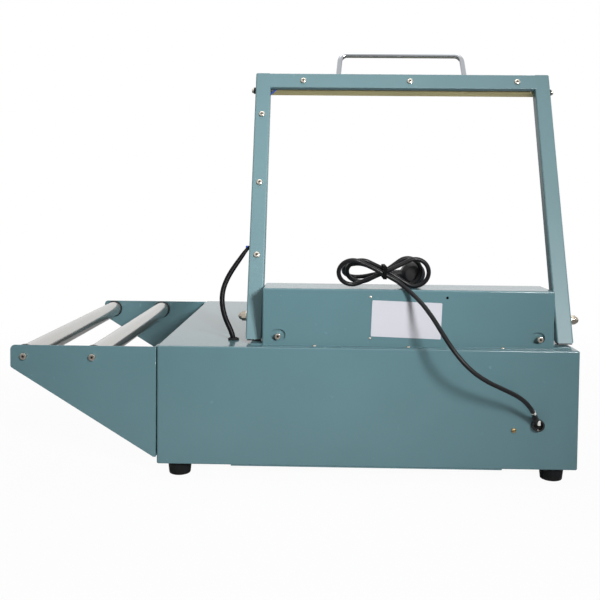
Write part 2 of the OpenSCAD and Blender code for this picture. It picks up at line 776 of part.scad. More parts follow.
module roller_axles() {
    end_y = rear_y - cradle_t;
    color(nickel) in_cabinet() translate([side_x, 0, 0]) at_axles() difference() {
        rod_y(axle_d, -end_y, end_y, 0, 0);
        for (s = [-1, 1]) rod_y(plate_screw_d + 2 * run_gap, s * end_y - 16, s * end_y + 16, 0, 0);
    }
}

module roller_screws() {
    color(nickel) in_cabinet() translate([side_x, 0, 0])
        at_axles() for (s = [0, 1]) mirror([0, s, 0]) difference() {
        union() {
            rod_y(plate_screw_d, rear_y - cradle_t - 14, rear_y + 1, 0, 0);
            rod_y(plate_head_d, rear_y, rear_y + roller_head_h, 0, 0);
        }
        translate([0, rear_y + 2, 0]) rotate([-90, 0, 0]) cylinder(d = 5.8, h = roller_head_h, $fn = 6);
    }
}

module roller_tube(x) {
    end_y = roller_in - roller_cap;
    color("#c3c4c2") in_cabinet() translate([side_x + x, 0, axle_z]) difference() {
        rod_y(roller_d, -end_y, end_y, 0, 0);
        rod_y(roller_d - 2 * roller_wall, -end_y - 1, end_y + 1, 0, 0);
    }
}

module roller_caps(x) {
    plug_l = 14;
    plug_d = roller_d - 2 * roller_wall - 2 * run_gap;
    color(black) in_cabinet() translate([side_x + x, 0, axle_z])
        for (s = [0, 1]) mirror([0, s, 0]) difference() {
        union() {
            rod_y(roller_d + 1, roller_in - roller_cap, roller_in, 0, 0);
            rod_y(plug_d, roller_in - roller_cap - plug_l, roller_in - roller_cap / 2, 0, 0);
        }
        rod_y(axle_d + 2 * run_gap, roller_in - roller_cap - plug_l - 1, roller_in + 1, 0, 0);
    }
}

module inner_roller() {
    roller_tube(roller_x);
}

module inner_roller_caps() {
    roller_caps(roller_x);
}

module outer_roller() {
    roller_tube(roller_x + roller_pitch);
}

module outer_roller_caps() {
    roller_caps(roller_x + roller_pitch);
}

// Sealing arm, drawn lowered and then raised by its frame

module at_post_screws() {
    for (k = [0 : 2]) translate([seal_x, -post_screw_u - k * post_screw_pitch, 0]) children();
}

module at_bar_screws() {
    for (k = [0 : 2]) translate([bar_screw_x + k * bar_screw_pitch, -seal_u, 0]) children();
}

module arm_post(x0) {
    half = post_t / 2;
    hollow = half - post_wall;
    low_y = post_wall - arm_l;
    high_y = heel_l + 1;
    difference() {
        extrude_x(x0, x0 + post_w)
            polygon([[-arm_l, -half], [heel_low, -half], [heel_l, half], [-arm_l, half]]);
        extrude_x(x0 + post_wall, x0 + post_w - post_wall)
            polygon([[low_y, -hollow], [high_y, -hollow], [high_y, hollow], [low_y, hollow]]);
        rod_x(shaft_d + 2 * run_gap, x0 - 1, x0 + post_w + 1, 0, 0);
    }
}

module arm_post_right() {
    color(paint) arm_frame() difference() {
        arm_post(bar_x1);
        at_post_screws() rod_z(screw_d + 2 * hole_gap, -post_t, post_t, 0, 0);
        rod_x(lead_d + 2 * hole_gap, arm_x1 - post_wall - 1, arm_x1 + 1, -lead_u, 0);
        rod_x(screw_d + 2 * hole_gap, arm_x1 - post_wall - 1, arm_x1 + 1, -terminal_u, 0);
    }
}

module arm_post_left() {
    color(paint) arm_frame() difference() {
        arm_post(arm_x0);
        rod_x(screw_d + 2 * hole_gap, arm_x0 - 1, arm_x0 + post_wall + 1, -terminal_u, 0);
    }
}

module front_bar() {
    top = post_t / 2;
    bar_front = bar_set - arm_l;
    color(paint) arm_frame() difference() {
        box([bar_x0, bar_front, top - bar_t], [bar_x1, bar_front + post_w, top]);
        box([bar_x0 - 1, bar_front + post_wall, top - bar_t - 1],
            [bar_x1 + 1, bar_front + post_w - post_wall, top - post_wall]);
        at_bar_screws() rod_z(screw_d + 2 * hole_gap, 0, post_t, 0, 0);
        for (s = [-1, 1])
            rod_y(handle_screw_d + 2 * hole_gap, bar_front - 1, bar_front + post_wall + 1,
                handle_x + s * handle_w / 2, handle_n);
    }
}

module front_carrier() {
    end_gap = 1;
    half = front_carrier_w / 2;
    color(laminate) arm_frame() difference() {
        union() {
            box([bar_x0 + end_gap, -seal_u - half, -carrier_low],
                [bar_x1 - end_gap, -seal_u + half, -carrier_drop]);
            box([arm_x0 + end_gap, -seal_u - half, -carrier_low],
                [arm_x1 - end_gap, -seal_u + half, tongue_top]);
        }
        at_bar_screws() rod_z(screw_d + 2 * run_gap, 3 - carrier_low, 1, 0, 0);
    }
}

module side_carrier() {
    color(laminate) arm_frame() difference() {
        box([seal_x - carrier_w / 2, -side_front, -carrier_low],
            [seal_x + carrier_w / 2, -side_start, -post_t / 2]);
        at_post_screws() rod_z(screw_d + 2 * run_gap, 2 - carrier_low, 1, 0, 0);
    }
}

module heating_bands() {
    low = -carrier_low - band_t;
    half = band_w / 2;
    color("#b9b4aa") arm_frame() {
        box([bar_x0 + 2, -seal_u - half, low], [arm_x1 - 2, -seal_u + half, -carrier_low]);
        box([seal_x - half, -side_front, low], [seal_x + half, -side_start, -carrier_low]);
    }
}

module seal_tapes() {
    low = -carrier_low - band_t - tape_t;
    high = -carrier_low - band_t;
    half = carrier_w / 2 - 1;
    color("#8f7a52") arm_frame() {
        box([bar_x0 + 1, -seal_u - half, low], [arm_x1 - 1, -seal_u + half, high]);
        box([seal_x - half, -side_front, low], [seal_x + half, -side_start, high]);
    }
}

module bar_spacers() {
    color("#f0efea") arm_frame() at_bar_screws() difference() {
        rod_z(screw_d + 4, -carrier_drop, post_t / 2 - post_wall, 0, 0);
        rod_z(screw_d + 2 * run_gap, -carrier_low, post_t, 0, 0);
    }
}

module carrier_screws() {
    color(nickel) arm_frame() {
        at_bar_screws() translate([0, 0, post_t / 2])
            pan_screw(screw_d, head_d, post_t / 2 + carrier_low - 5);
        at_post_screws() translate([0, 0, post_t / 2])
            pan_screw(screw_d, head_d, post_t / 2 + carrier_low - 4);
    }
}

// Band terminals on the outer faces of the posts
module at_terminals() {
    for (side = [0, 1])
        translate([side == 0 ? arm_x1 : arm_x0, -terminal_u, 0])
            mirror([side, 0, 0]) rotate([0, 90, 0]) children();
}

module terminal_bushes() {
    color(black) arm_frame() at_terminals() difference() {
        cylinder(d = 2 * screw_d + 1, h = 2.5);
        translate([0, 0, -1]) cylinder(d = screw_d + 2 * run_gap, h = 5);
    }
}

module terminal_screws() {
    color(nickel) arm_frame() at_terminals() translate([0, 0, 2.5])
        pan_screw(screw_d, 1.6 * screw_d, 2.5 + post_wall + 5);
}

module arm_handle() {
    foot_y = bar_set - arm_l;
    leg_l = (handle_h - handle_r + handle_r * sin(handle_lean)) / cos(handle_lean);
    top_x = handle_w / 2 - handle_r * cos(handle_lean) - leg_l * sin(handle_lean);
    // The straight runs reach into the bends, which are a hair thicker
    lap = 0.2;
    bend_d = handle_d + 0.02;
    color("#d9dadb") arm_frame() translate([handle_x, 0, handle_n]) {
        difference() {
            union() {
                for (s = [0, 1]) mirror([s, 0, 0]) translate([handle_w / 2, foot_y, 0]) difference() {
                    rotate([0, 0, -handle_lean]) {
                        rod_y(handle_d, -leg_l - lap, 1, 0, 0);
                        translate([-handle_r, -leg_l, 0]) rotate([0, 0, handle_lean - 90])
                            rotate_extrude(angle = 90 - handle_lean)
                                translate([handle_r, 0]) circle(d = bend_d);
                    }
                    box([-handle_d, 0, -handle_d], [handle_d, handle_d, handle_d]);
                }
                rod_x(handle_d, -top_x - lap, top_x + lap, foot_y - handle_h, 0);
            }
            for (s = [-1, 1])
                rod_y(handle_screw_d + 2 * run_gap, foot_y - handle_screw_l, foot_y + 1, s * handle_w / 2, 0);
        }
    }
}

module handle_screws() {
    inner_y = bar_set - arm_l + post_wall;
    color(nickel) arm_frame() for (s = [-1, 1]) {
        at_x = handle_x + s * handle_w / 2;
        rod_y(handle_screw_d, inner_y - handle_screw_l, inner_y + 1, at_x, handle_n);
        rod_y(handle_head_d, inner_y, inner_y + handle_head_h, at_x, handle_n);
    }
}

// Heater lead of the arm

module arm_lead() {
    color(black) in_cabinet() tube(lead_route, lead_d, 10);
}

module table_grommet() {
    neck_d = lead_d + 3;
    color(black) in_cabinet() difference() {
        union() {
            rod_z(neck_d + 6, table_z, table_z + 3, lead_x, lead_y);
            rod_z(neck_d, table_z - sheet - 2, table_z + 1, lead_x, lead_y);
        }
        rod_z(lead_d + 1, table_z - 10, table_z + 10, lead_x, lead_y);
    }
}

// Lower jaws on the table

module jaw_channel(low, high) {
    difference() {
        box(low, high);
        box([low[0] + sheet, low[1] + sheet, low[2] - 1],
            [high[0] - sheet, high[1] - sheet, high[2] - sheet]);
    }
}

side_jaw_front = seal_y + jaw_w / 2 + 0.5;
side_jaw_rear = pivot_y - side_start;

module lower_jaws() {
    color("#b4b7b8") in_cabinet() {
        jaw_channel([bar_x0, seal_y - jaw_w / 2, table_z], [arm_x1, seal_y + jaw_w / 2, table_z + jaw_h]);
        jaw_channel([seal_x - jaw_w / 2, side_jaw_front, table_z],
            [seal_x + jaw_w / 2, side_jaw_rear, table_z + jaw_h]);
    }
}

module jaw_pads() {
    low = table_z + jaw_h;
    color("#b0563f") in_cabinet() {
        box([bar_x0, seal_y - pad_w / 2, low], [arm_x1, seal_y + pad_w / 2, low + pad_h]);
        box([seal_x - pad_w / 2, side_jaw_front, low], [seal_x + pad_w / 2, side_jaw_rear, low + pad_h]);
    }
}

// Controls on the front face

module power_switch() {
    color(black) in_cabinet() translate([switch_x, front_y, control_z]) difference() {
        union() {
            box([-11, -2, -17], [11, 0, 17]);
            box([-9.2, -1, -14.2], [9.2, 22, 14.2]);
        }
        box([-7.4, -3, -12.8], [7.4, 15, 12.8]);
        rod_x(3 + 2 * run_gap, -8.6, 8.6, 4, 0);
    }
}

module power_rocker() {
    color("#8f1d1a") in_cabinet() translate([switch_x, front_y + 4, control_z]) rotate([rocker_tilt, 0, 0]) {
        extrude_x(-7, 7) polygon([[-7, 0], [-9, 11], [-1, 11], [4, 4], [4, -4], [-1, -11], [-9, -11]]);
        rod_x(3, -8.4, 8.4, 0, 0);
    }
}

module time_control() {
    color("#6b6f72") in_cabinet() translate([knob_x, front_y, control_z]) difference() {
        union() {
            rod_y(18, sheet, sheet + 14, 0, 0);
            rod_y(9, -3, sheet + 1, 0, 0);
        }
        rod_y(pot_shaft_d + 2 * run_gap, -4, sheet + 12, 0, 0);
    }
}

module time_knob() {
    grip = 10;
    color(black) in_cabinet() translate([knob_x, front_y, control_z]) difference() {
        union() {
            rod_y(knob_d, -knob_reach, -3.5, 0, 0);
            rod_y(pot_shaft_d, -4, sheet + 11, 0, 0);
        }
        for (k = [0 : grip - 1]) rotate([0, 360 * (k + 0.5) / grip, 0])
            rod_y(5, -knob_reach - 1, -7, 0, knob_d / 2 + 1);
        box([-0.8, -knob_reach - 1, 3], [0.8, 0.8 - knob_reach, knob_d / 2 - 1]);
    }
}

module pilot_lamp() {
    color("#c9362a") in_cabinet() translate([lamp_x, front_y, control_z]) {
        rod_y(14, -2.5, 0, 0, 0);
        rod_y(10, -1, sheet + 16, 0, 0);
        translate([0, -2.5, 0]) intersection() {
            sphere(d = 9.5);
            box([-6, -6, -6], [6, 0.5, 6]);
        }
    }
}

// Electrics on the bottom cover

core_x = -90;
core_y = 40;
core_w = 96;
core_d = 44;
core_h = 80;

module transformer_core() {
    leg = core_w / 6;
    color("#4a4d50") in_cabinet() translate([core_x, core_y, base_z]) difference() {
        union() {
            box([-core_w / 2, -core_d / 2, 0], [core_w / 2, core_d / 2, core_h]);
            box([-core_w / 2, -core_d / 2 - 14, 0], [core_w / 2, core_d / 2 + 14, 2.5]);
        }
        for (s = [-1, 1])
            box([s * 1.5 * leg - leg / 2, -core_d, leg], [s * 1.5 * leg + leg / 2, core_d, core_h - leg]);
    }
}

module transformer_coil() {
    leg = core_w / 6;
    clear = 0.5;
    out = 2 * leg - clear;
    color("#c8a23c") in_cabinet() translate([core_x, core_y, base_z]) difference() {
        box([-out, -core_d / 2 - leg, leg + clear], [out, core_d / 2 + leg, core_h - leg - clear]);
        box([-leg - clear, -core_d / 2 - clear, 0], [leg + clear, core_d / 2 + clear, core_h]);
    }
}

board_x = 60;
board_y = 20;
board_w = 110;
board_d = 76;
board_t = 1.6;
stand_d = 6;
stand_h = 10;
relay_w = 28;
relay_d = 22;
relay_h = 20;
sink_w = 30;
sink_d = 40;
sink_h = 26;
strip_w = 40;
strip_d = 12;

module timer_board() {
    top = stand_h + board_t / 2;
    color("#2f6b45") in_cabinet() translate([board_x, board_y, base_z]) {
        for (x = [stand_d, board_w - stand_d], y = [stand_d, board_d - stand_d])
            rod_z(stand_d, 0, stand_h, x, y);
        translate([0, 0, stand_h]) cube([board_w, board_d, board_t]);
        translate([relay_w / 2, relay_d / 2, top]) cube([relay_w, relay_d, relay_h]);
        translate([board_w / 2, relay_d / 2, top]) cube([sink_w, sink_d, sink_h]);
        translate([strip_d, board_d - 2 * strip_d, top]) cube([strip_w, strip_d, strip_d]);
    }
}

// Mains lead

earth_at = [-215.5, 80];

module earth_screw() {
    color("#b98d3e") in_cabinet() translate([earth_at[0], rear_y, earth_at[1]]) difference() {
        union() {
            rod_y(7, 0, 2.2, 0, 0);
            rod_y(4, -sheet - 6, 1, 0, 0);
        }
        box([-4, 1.2, -0.5], [4, 3, 0.5]);
    }
}

// Turns a piece drawn along z to the way that the mains lead leaves the gland
module along_lead() {
    translate([0, 1, 0]) rotate([0, acos(gland_way[2]), atan2(gland_way[1], gland_way[0])]) children();
}

// Ring in the rear wall with a tapered relief that leans towards the lead
module cord_gland() {
    neck_d = gland_d - 6;
    bore_d = cord_d + 2 * hole_gap;
    color(black) in_cabinet() translate([gland_x, rear_y, gland_z]) difference() {
        union() {
            difference() {
                rod_y(gland_d, 0, gland_reach, 0, 0);
                rod_y(neck_d - 0.5, 2, gland_reach + 1, 0, 0);
            }
            intersection() {
                along_lead() cylinder(d1 = cord_d + 4, d2 = cord_d + 1.6, h = relief_l);
                box([-2 * relief_l, 0, -2 * relief_l], [2 * relief_l, 2 * relief_l, 2 * relief_l]);
            }
            rod_y(neck_d, -sheet - 6, 1, 0, 0);
            difference() {
                translate([0, -sheet - 5, 0]) rotate([-90, 0, 0]) cylinder(d = gland_d, h = 5, $fn = 6);
                rod_y(neck_d - 1, -sheet - 7, 1, 0, 0);
            }
        }
        rod_y(bore_d, -20, -0.5, 0, 0);
        along_lead() translate([0, 0, 6]) cylinder(d = bore_d, h = relief_l);
    }
}

module mains_cord() {
    color(black) in_cabinet() tube(concat(cord_route, [hank_first - 3 * hank_dir, hank_first]), cord_d, 8);
}

module cord_hank() {
    echo(hank_gap = least_gap(fine_line(hank_route, 6), 40, cord_d));
    color(black) in_cabinet() tube(hank_route, cord_d, 6);
}

module hank_tie() {
    wall = 1.5;
    half_z = cord_d / 2 + 5;
    y0 = hank_y - 0.85 * hank_depth - cord_d / 2 - 0.5;
    y1 = hank_y + cord_d / 2 + 0.5;
    tie_z = hank_low + 21.2;
    color(black) in_cabinet() translate([hank_x, (y0 + y1) / 2, tie_z]) extrude_x(-2.5, 2.5) difference() {
        rounded_plate(y1 - y0 + 2 * wall, 2 * (half_z + wall), 4);
        rounded_plate(y1 - y0, 2 * half_z, 2.5);
    }
}

// Angled mains plug that stands on its rim: back towards the rear, pins towards the front
module mains_plug() {
    plug_r = 18.5;
    plug_l = 22;
    back = -plug_l / 2;
    centre = hank_route[len(hank_route) - 1] - [24 + plug_r - 1.5, 0, 0];
    color(black) in_cabinet() translate(centre) {
        rotate([90, 0, 0]) rotate_extrude()
            polygon([[0, back], [plug_r - 5, back], [plug_r, back + 5], [plug_r, -back], [0, -back]]);
        translate([plug_r - 1.5, 0, 0]) rotate([0, 90, 0]) cylinder(d1 = 13, d2 = cord_d + 1.6, h = 24);
        for (s = [-1, 1]) rod_y(4.8, -plug_l / 2 - 19, 1 - plug_l / 2, s * 9.5, 0);
    }
}

cabinet_shell();
bottom_cover();
bottom_cover_screws();
rubber_feet();
foot_screws();
hinge_cover();
hinge_cover_screws();
hinge_bracket_right();
hinge_bracket_left();
hinge_bracket_screws();
hinge_bushes();
pivot_shafts();
pivot_spacers();
pivot_washers();
dome_nuts();
lift_cranks();
lift_springs();
spring_screws();
arm_switch();
arm_switch_plunger();
roller_bracket_front();
roller_bracket_rear();
roller_bracket_bolts();
roller_axles();
roller_screws();
inner_roller();
inner_roller_caps();
outer_roller();
outer_roller_caps();
arm_post_right();
arm_post_left();
front_bar();
front_carrier();
side_carrier();
heating_bands();
seal_tapes();
bar_spacers();
carrier_screws();
terminal_bushes();
terminal_screws();
arm_handle();
handle_screws();
arm_lead();
table_grommet();
lower_jaws();
jaw_pads();
power_switch();
power_rocker();
time_control();
time_knob();
pilot_lamp();
transformer_core();
transformer_coil();
timer_board();
earth_screw();
cord_gland();
mains_cord();
cord_hank();
hank_tie();
mains_plug();
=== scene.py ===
# %% [markdown]
# # A table-top bag sealer, seen from behind
# The machine is a folded steel cabinet with a hinge cover along its rear edge, a raised L-shaped sealing arm
# and two film rollers on brackets at one side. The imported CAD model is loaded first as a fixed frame: every
# piece made below stands where a CAD solid is, and moves with the same body.

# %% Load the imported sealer
import json
import math

import bmesh
import bpy
from mathutils import Matrix, Vector

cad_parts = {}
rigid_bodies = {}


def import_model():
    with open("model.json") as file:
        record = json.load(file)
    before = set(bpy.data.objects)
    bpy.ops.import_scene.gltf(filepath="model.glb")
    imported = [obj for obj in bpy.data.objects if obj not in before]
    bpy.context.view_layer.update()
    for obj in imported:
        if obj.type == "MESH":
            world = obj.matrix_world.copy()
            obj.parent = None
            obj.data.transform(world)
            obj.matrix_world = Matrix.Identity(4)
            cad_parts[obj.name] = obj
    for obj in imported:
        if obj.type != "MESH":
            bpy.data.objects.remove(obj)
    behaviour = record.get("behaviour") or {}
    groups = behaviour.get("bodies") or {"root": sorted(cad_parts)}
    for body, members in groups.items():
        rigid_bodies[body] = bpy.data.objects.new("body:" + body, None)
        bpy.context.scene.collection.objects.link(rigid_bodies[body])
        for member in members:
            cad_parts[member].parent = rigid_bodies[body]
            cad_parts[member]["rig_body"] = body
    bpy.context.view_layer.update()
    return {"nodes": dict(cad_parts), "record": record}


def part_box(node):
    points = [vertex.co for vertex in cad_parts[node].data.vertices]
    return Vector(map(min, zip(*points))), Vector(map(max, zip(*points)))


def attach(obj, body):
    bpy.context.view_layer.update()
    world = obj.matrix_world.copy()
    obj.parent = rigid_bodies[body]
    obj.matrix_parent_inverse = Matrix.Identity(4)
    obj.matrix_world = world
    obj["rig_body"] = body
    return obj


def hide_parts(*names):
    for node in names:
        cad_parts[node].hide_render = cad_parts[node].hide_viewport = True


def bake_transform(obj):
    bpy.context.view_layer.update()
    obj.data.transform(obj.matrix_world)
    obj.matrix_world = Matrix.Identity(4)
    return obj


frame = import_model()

scene = bpy.context.scene
scene.view_settings.view_transform = "Standard"
body_of = {node: thing["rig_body"] for node, thing in frame["nodes"].items()}
slot_of = {part["node"]: part["material_slot"] for part in frame["record"]["subparts"]}

# %% [markdown]
# ## Millimetres on the cabinet and on the arm
# A drawing of this machine is read in millimetres from the middle of the cabinet, and the arm is easiest to
# draw lowered, with its pivot at the origin. Two matrices turn those drawings into metres in the model's
# frame, so each piece can be written in the numbers of its own drawing. Two more serve shapes that are in the
# model's frame already, in millimetres or in metres.

# %% The cabinet's and the arm's drawing frames
MM = 0.001
ARM_ANGLE = 69.0
PIVOT_Y, PIVOT_Z = 206.5, 236
RIGHT, LEFT, BACK, FRONT, UP, DOWN = (1, 0, 0), (-1, 0, 0), (0, 1, 0), (0, -1, 0), (0, 0, 1), (0, 0, -1)
cabinet_low, cabinet_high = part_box("cabinet_shell")
cabinet_middle = Matrix.Translation(((cabinet_low.x + cabinet_high.x) / 2, (cabinet_low.y + cabinet_high.y) / 2, 0))
ON_CABINET = cabinet_middle @ Matrix.Scale(MM, 4)
ON_ARM = ON_CABINET @ Matrix.Translation((0, PIVOT_Y, PIVOT_Z)) @ Matrix.Rotation(math.radians(-ARM_ANGLE), 4, "X")
IN_FRAME, IN_METRES = Matrix.Scale(MM, 4), Matrix.Identity(4)
print("cabinet middle", [round(v, 4) for v in cabinet_middle.translation])

# %% [markdown]
# ## The camera
# The photograph is taken from behind, a little above the table, with a lens that is neither wide nor long.
# Its place came from matching corners of the cabinet, the brackets and the arm with their pixels. The camera's
# three axes are turned from a view straight along -Y by a small yaw, pitch and roll.

# %% Camera behind the machine
def in_scene(name, data):
    """A new object with its data, linked into the scene."""
    thing = bpy.data.objects.new(name, data)
    scene.collection.objects.link(thing)
    return thing


right, down = Vector((-0.99974, -0.02041, 0.00999)), Vector((-0.01082, 0.04078, -0.99911))
ahead = right.cross(down)
camera_data = bpy.data.cameras.new("photo_camera")
camera_data.sensor_width, camera_data.lens = 36, 47.70
camera_data.shift_x, camera_data.shift_y = -0.0068, -0.1124
camera = in_scene("photo_camera", camera_data)
axes = Matrix((right, -down, -ahead)).transposed().to_4x4()
camera.matrix_world = Matrix.Translation((-0.0307, 1.4248, 0.4146)) @ axes
camera_data.clip_start = 0.05
scene.camera = camera
print("camera at", [round(v, 3) for v in camera.location], "lens", camera_data.lens)

# %% [markdown]
# ## Adding shader nodes
# The world, the floor and all the finishes are made of shader nodes. Every node is added in the same three steps:
# make it, choose its settings, and give each socket a value or a link from another node. One helper does all three.

# %% A helper for shader nodes
WHITE = (1, 1, 1, 1)


def empty_tree(owner):
    """The node tree of a world or a material, with nothing in it."""
    owner.use_nodes = True
    owner.node_tree.nodes.clear()
    return owner.node_tree


def add_node(tree, kind, sockets, output=0, **settings):
    """Adds a node and gives back one of its outputs; sockets and outputs go by name or by number."""
    node = tree.nodes.new("ShaderNode" + kind)
    for setting, value in settings.items():
        setattr(node, setting, value)
    for socket, value in sockets.items():
        if isinstance(value, bpy.types.NodeSocket):
            tree.links.new(value, node.inputs[socket])
        else:
            node.inputs[socket].default_value = value
    return node.outputs[output] if node.outputs else None


print("shader nodes can be added")

# %% [markdown]
# ## A white sweep and one main lamp
# The photograph is a cut-out on white. Its shadows, such as the hinge cover's wedge on the post beside it, show
# one main lamp to the right of the camera and a little above it, with weak fill. The world shows pure white to
# the camera and to mirror-like surfaces, and gives the object a low, even light.

# %% World and lamps
def white_rays(tree):
    """A factor of 1 for rays that should meet plain white: camera, glossy and transmission rays."""
    factor = add_node(tree, "LightPath", {}, "Is Camera Ray")
    for kind in ("Is Glossy Ray", "Is Transmission Ray"):
        factor = add_node(tree, "Math", {0: factor, 1: add_node(tree, "LightPath", {}, kind)}, operation="MAXIMUM")
    return factor


def studio_world(level):
    """White for those rays, and an even light of the given level on the object."""
    scene.world = bpy.data.worlds.new("studio")
    tree = empty_tree(scene.world)
    given, shown = [add_node(tree, "Background", {"Color": WHITE, "Strength": strength}) for strength in (level, 1.0)]
    add_node(tree, "OutputWorld", {0: add_node(tree, "MixShader", {0: white_rays(tree), 1: given, 2: shown})})


def soft_lamp(name, watts, size, spot, target, spread=180):
    """A square lamp at a spot, turned towards a target; a smaller spread in degrees gives a narrower beam."""
    lamp_data = bpy.data.lights.new(name, "AREA")
    lamp_data.energy, lamp_data.shape, lamp_data.size = watts, "SQUARE", size
    lamp_data.spread = math.radians(spread)
    lamp = in_scene(name, lamp_data)
    lamp.location = spot
    lamp.rotation_euler = (Vector(target) - Vector(spot)).to_track_quat("-Z", "Y").to_euler()


MIDDLE, KEY_WAY, KEY_DISTANCE = Vector((-0.1, 0.2, 0.3)), Vector((-0.38, 0.86, 0.34)), 2.4
studio_world(0.09)
soft_lamp("key_lamp", 4.6, 0.45, MIDDLE + KEY_DISTANCE * KEY_WAY, (0.08, 0.2, 0.45), 45)
soft_lamp("overhead_lamp", 20, 2.0, (-0.1, -0.1, 2.4), (-0.1, 0.0, 0.2))
print("world and two lamps")

# %% [markdown]
# ## The floor
# The floor is matt and takes the shadow, but for the camera most of it glows at the background's white. The
# share of glow grows to all of it away from the machine, so no horizon shows.

# %% White floor with a weak shadow
floor_mesh = bpy.data.meshes.new("floor")
flat = bmesh.new()
bmesh.ops.create_grid(flat, x_segments=1, y_segments=1, size=30)
flat.to_mesh(floor_mesh)
flat.free()
floor = in_scene("floor", floor_mesh)
sweep = bpy.data.materials.new("white_sweep")
tree = empty_tree(sweep)
matt = add_node(tree, "BsdfDiffuse", {"Color": (0.85, 0.85, 0.85, 1)})
glow = add_node(tree, "Emission", {"Color": WHITE})
far = add_node(tree, "VectorMath", {0: add_node(tree, "TexCoord", {}, "Object")}, "Value", operation="LENGTH")
share = add_node(tree, "MapRange", {"Value": far, "From Min": 0.5, "From Max": 1.5, "To Min": 0.96, "To Max": 1.0})
seen = add_node(tree, "Math", {0: add_node(tree, "LightPath", {}, "Is Camera Ray"), 1: share}, operation="MULTIPLY")
add_node(tree, "OutputMaterial", {0: add_node(tree, "MixShader", {0: seen, 1: matt, 2: glow})})
floor_mesh.materials.append(sweep)
print("floor laid")

# %% [markdown]
# ## Finishes
# Each finish is a Principled shader fed by noise on the object's own coordinates: broad clouds shift the tone,
# fine grain shifts the gloss and raises a slight relief. What differs between powder paint, nickel, rubber or
# plastic is the size and depth of that grain, so one function with a few values serves most of them.

# %% Helpers for finishes
def screen(red, green, blue):
    """A colour read on a screen, 0 to 255, as the linear values that shaders use."""
    part = [c / 255 for c in (red, green, blue)]
    return tuple(((c + 0.055) / 1.055) ** 2.4 if c > 0.04045 else c / 12.92 for c in part) + (1.0,)


def shade(colour, factor):
    return tuple(min(1.0, c * factor) for c in colour[:3]) + (1.0,)


class Finish:
    """A material being put together: a Principled shader and the nodes that feed it."""

    def __init__(self, name, metal=0.0, specular=0.5):
        self.material = bpy.data.materials.new(name)
        self.material.use_nodes = True
        self.tree = self.material.node_tree
        self.shader = self.tree.nodes["Principled BSDF"]
        self.shader.inputs["Metallic"].default_value = metal
        self.shader.inputs["Specular IOR Level"].default_value = specular
        self.where = add_node(self.tree, "TexCoord", {}, "Object")

    def feed(self, socket, output):
        self.tree.links.new(output, self.shader.inputs[socket])

    def stretched(self, stretch):
        return add_node(self.tree, "Mapping", {"Scale": stretch, "Vector": self.where})

    def noise(self, scale, detail=2.0, vector=None):
        sockets = {"Scale": scale, "Detail": detail, "Vector": vector or self.where}
        return add_node(self.tree, "TexNoise", sockets, "Fac")

    def tones(self, factor, dark, light, low=0.3, high=0.7):
        ramp = add_node(self.tree, "ValToRGB", {"Fac": factor})
        first, last = ramp.node.color_ramp.elements
        first.position, first.color, last.position, last.color = low, dark, high, light
        return ramp

    def spread(self, factor, low, high):
        reach = {"Value": factor, "From Min": 0.3, "From Max": 0.7, "To Min": low, "To Max": high}
        return add_node(self.tree, "MapRange", reach)

    def over(self, below, factor, above):
        """One colour laid over another where the factor is high; sockets 6 and 7 are the mix's two colours."""
        return add_node(self.tree, "Mix", {"Factor": factor, 6: below, 7: above}, 2, data_type="RGBA")

    def relief(self, height, strength, depth):
        return add_node(self.tree, "Bump", {"Height": height, "Strength": strength, "Distance": depth * MM})


def grained(name, colour, gloss, metal, clouds, swing, grain, lift, specular=0.5, stretch=None):
    """Most finishes: cloudy tone, grain in the gloss (rough from gloss[0] to gloss[1]) and a fine relief."""
    made = Finish(name, metal, specular)
    vector = made.stretched(stretch) if stretch else None
    made.feed("Base Color", made.tones(made.noise(clouds, 4), shade(colour, 1 - swing), shade(colour, 1 + swing)))
    fine = made.noise(grain, 2, vector)
    made.feed("Roughness", made.spread(fine, *gloss))
    made.feed("Normal", made.relief(fine, *lift))
    return made.material


print("finish helpers ready")

# %% [markdown]
# ## Powder paint
# The grey-blue paint is a baked powder with a fine orange-peel skin. Clouds a hand wide shift its tone by a few
# parts in a hundred, the skin is a soft bump two millimetres across, and a few rubbed spots are paler. The arm
# is a little paler and duller than the cabinet.

# %% Paint of the cabinet and of the arm
def powder_paint(name, colour, gloss):
    made = Finish(name)
    body = made.tones(made.noise(7, 4), shade(colour, 0.965), shade(colour, 1.035))
    rubbed = made.tones(made.noise(90, 6), (0, 0, 0, 1), (0.35, 0.35, 0.35, 1), 0.68, 0.76)
    made.feed("Base Color", made.over(body, rubbed, shade(colour, 1.7)))
    made.feed("Roughness", made.spread(made.noise(1900, 2), *gloss))
    made.feed("Normal", made.relief(made.noise(520, 1), 0.10, 0.15))
    return made.material


finishes = {
    "cabinet_paint": powder_paint("cabinet_paint", screen(95, 129, 136), (0.12, 0.21)),
    "arm_paint": powder_paint("arm_paint", screen(106, 138, 144), (0.34, 0.46)),
}
print("paint ready")
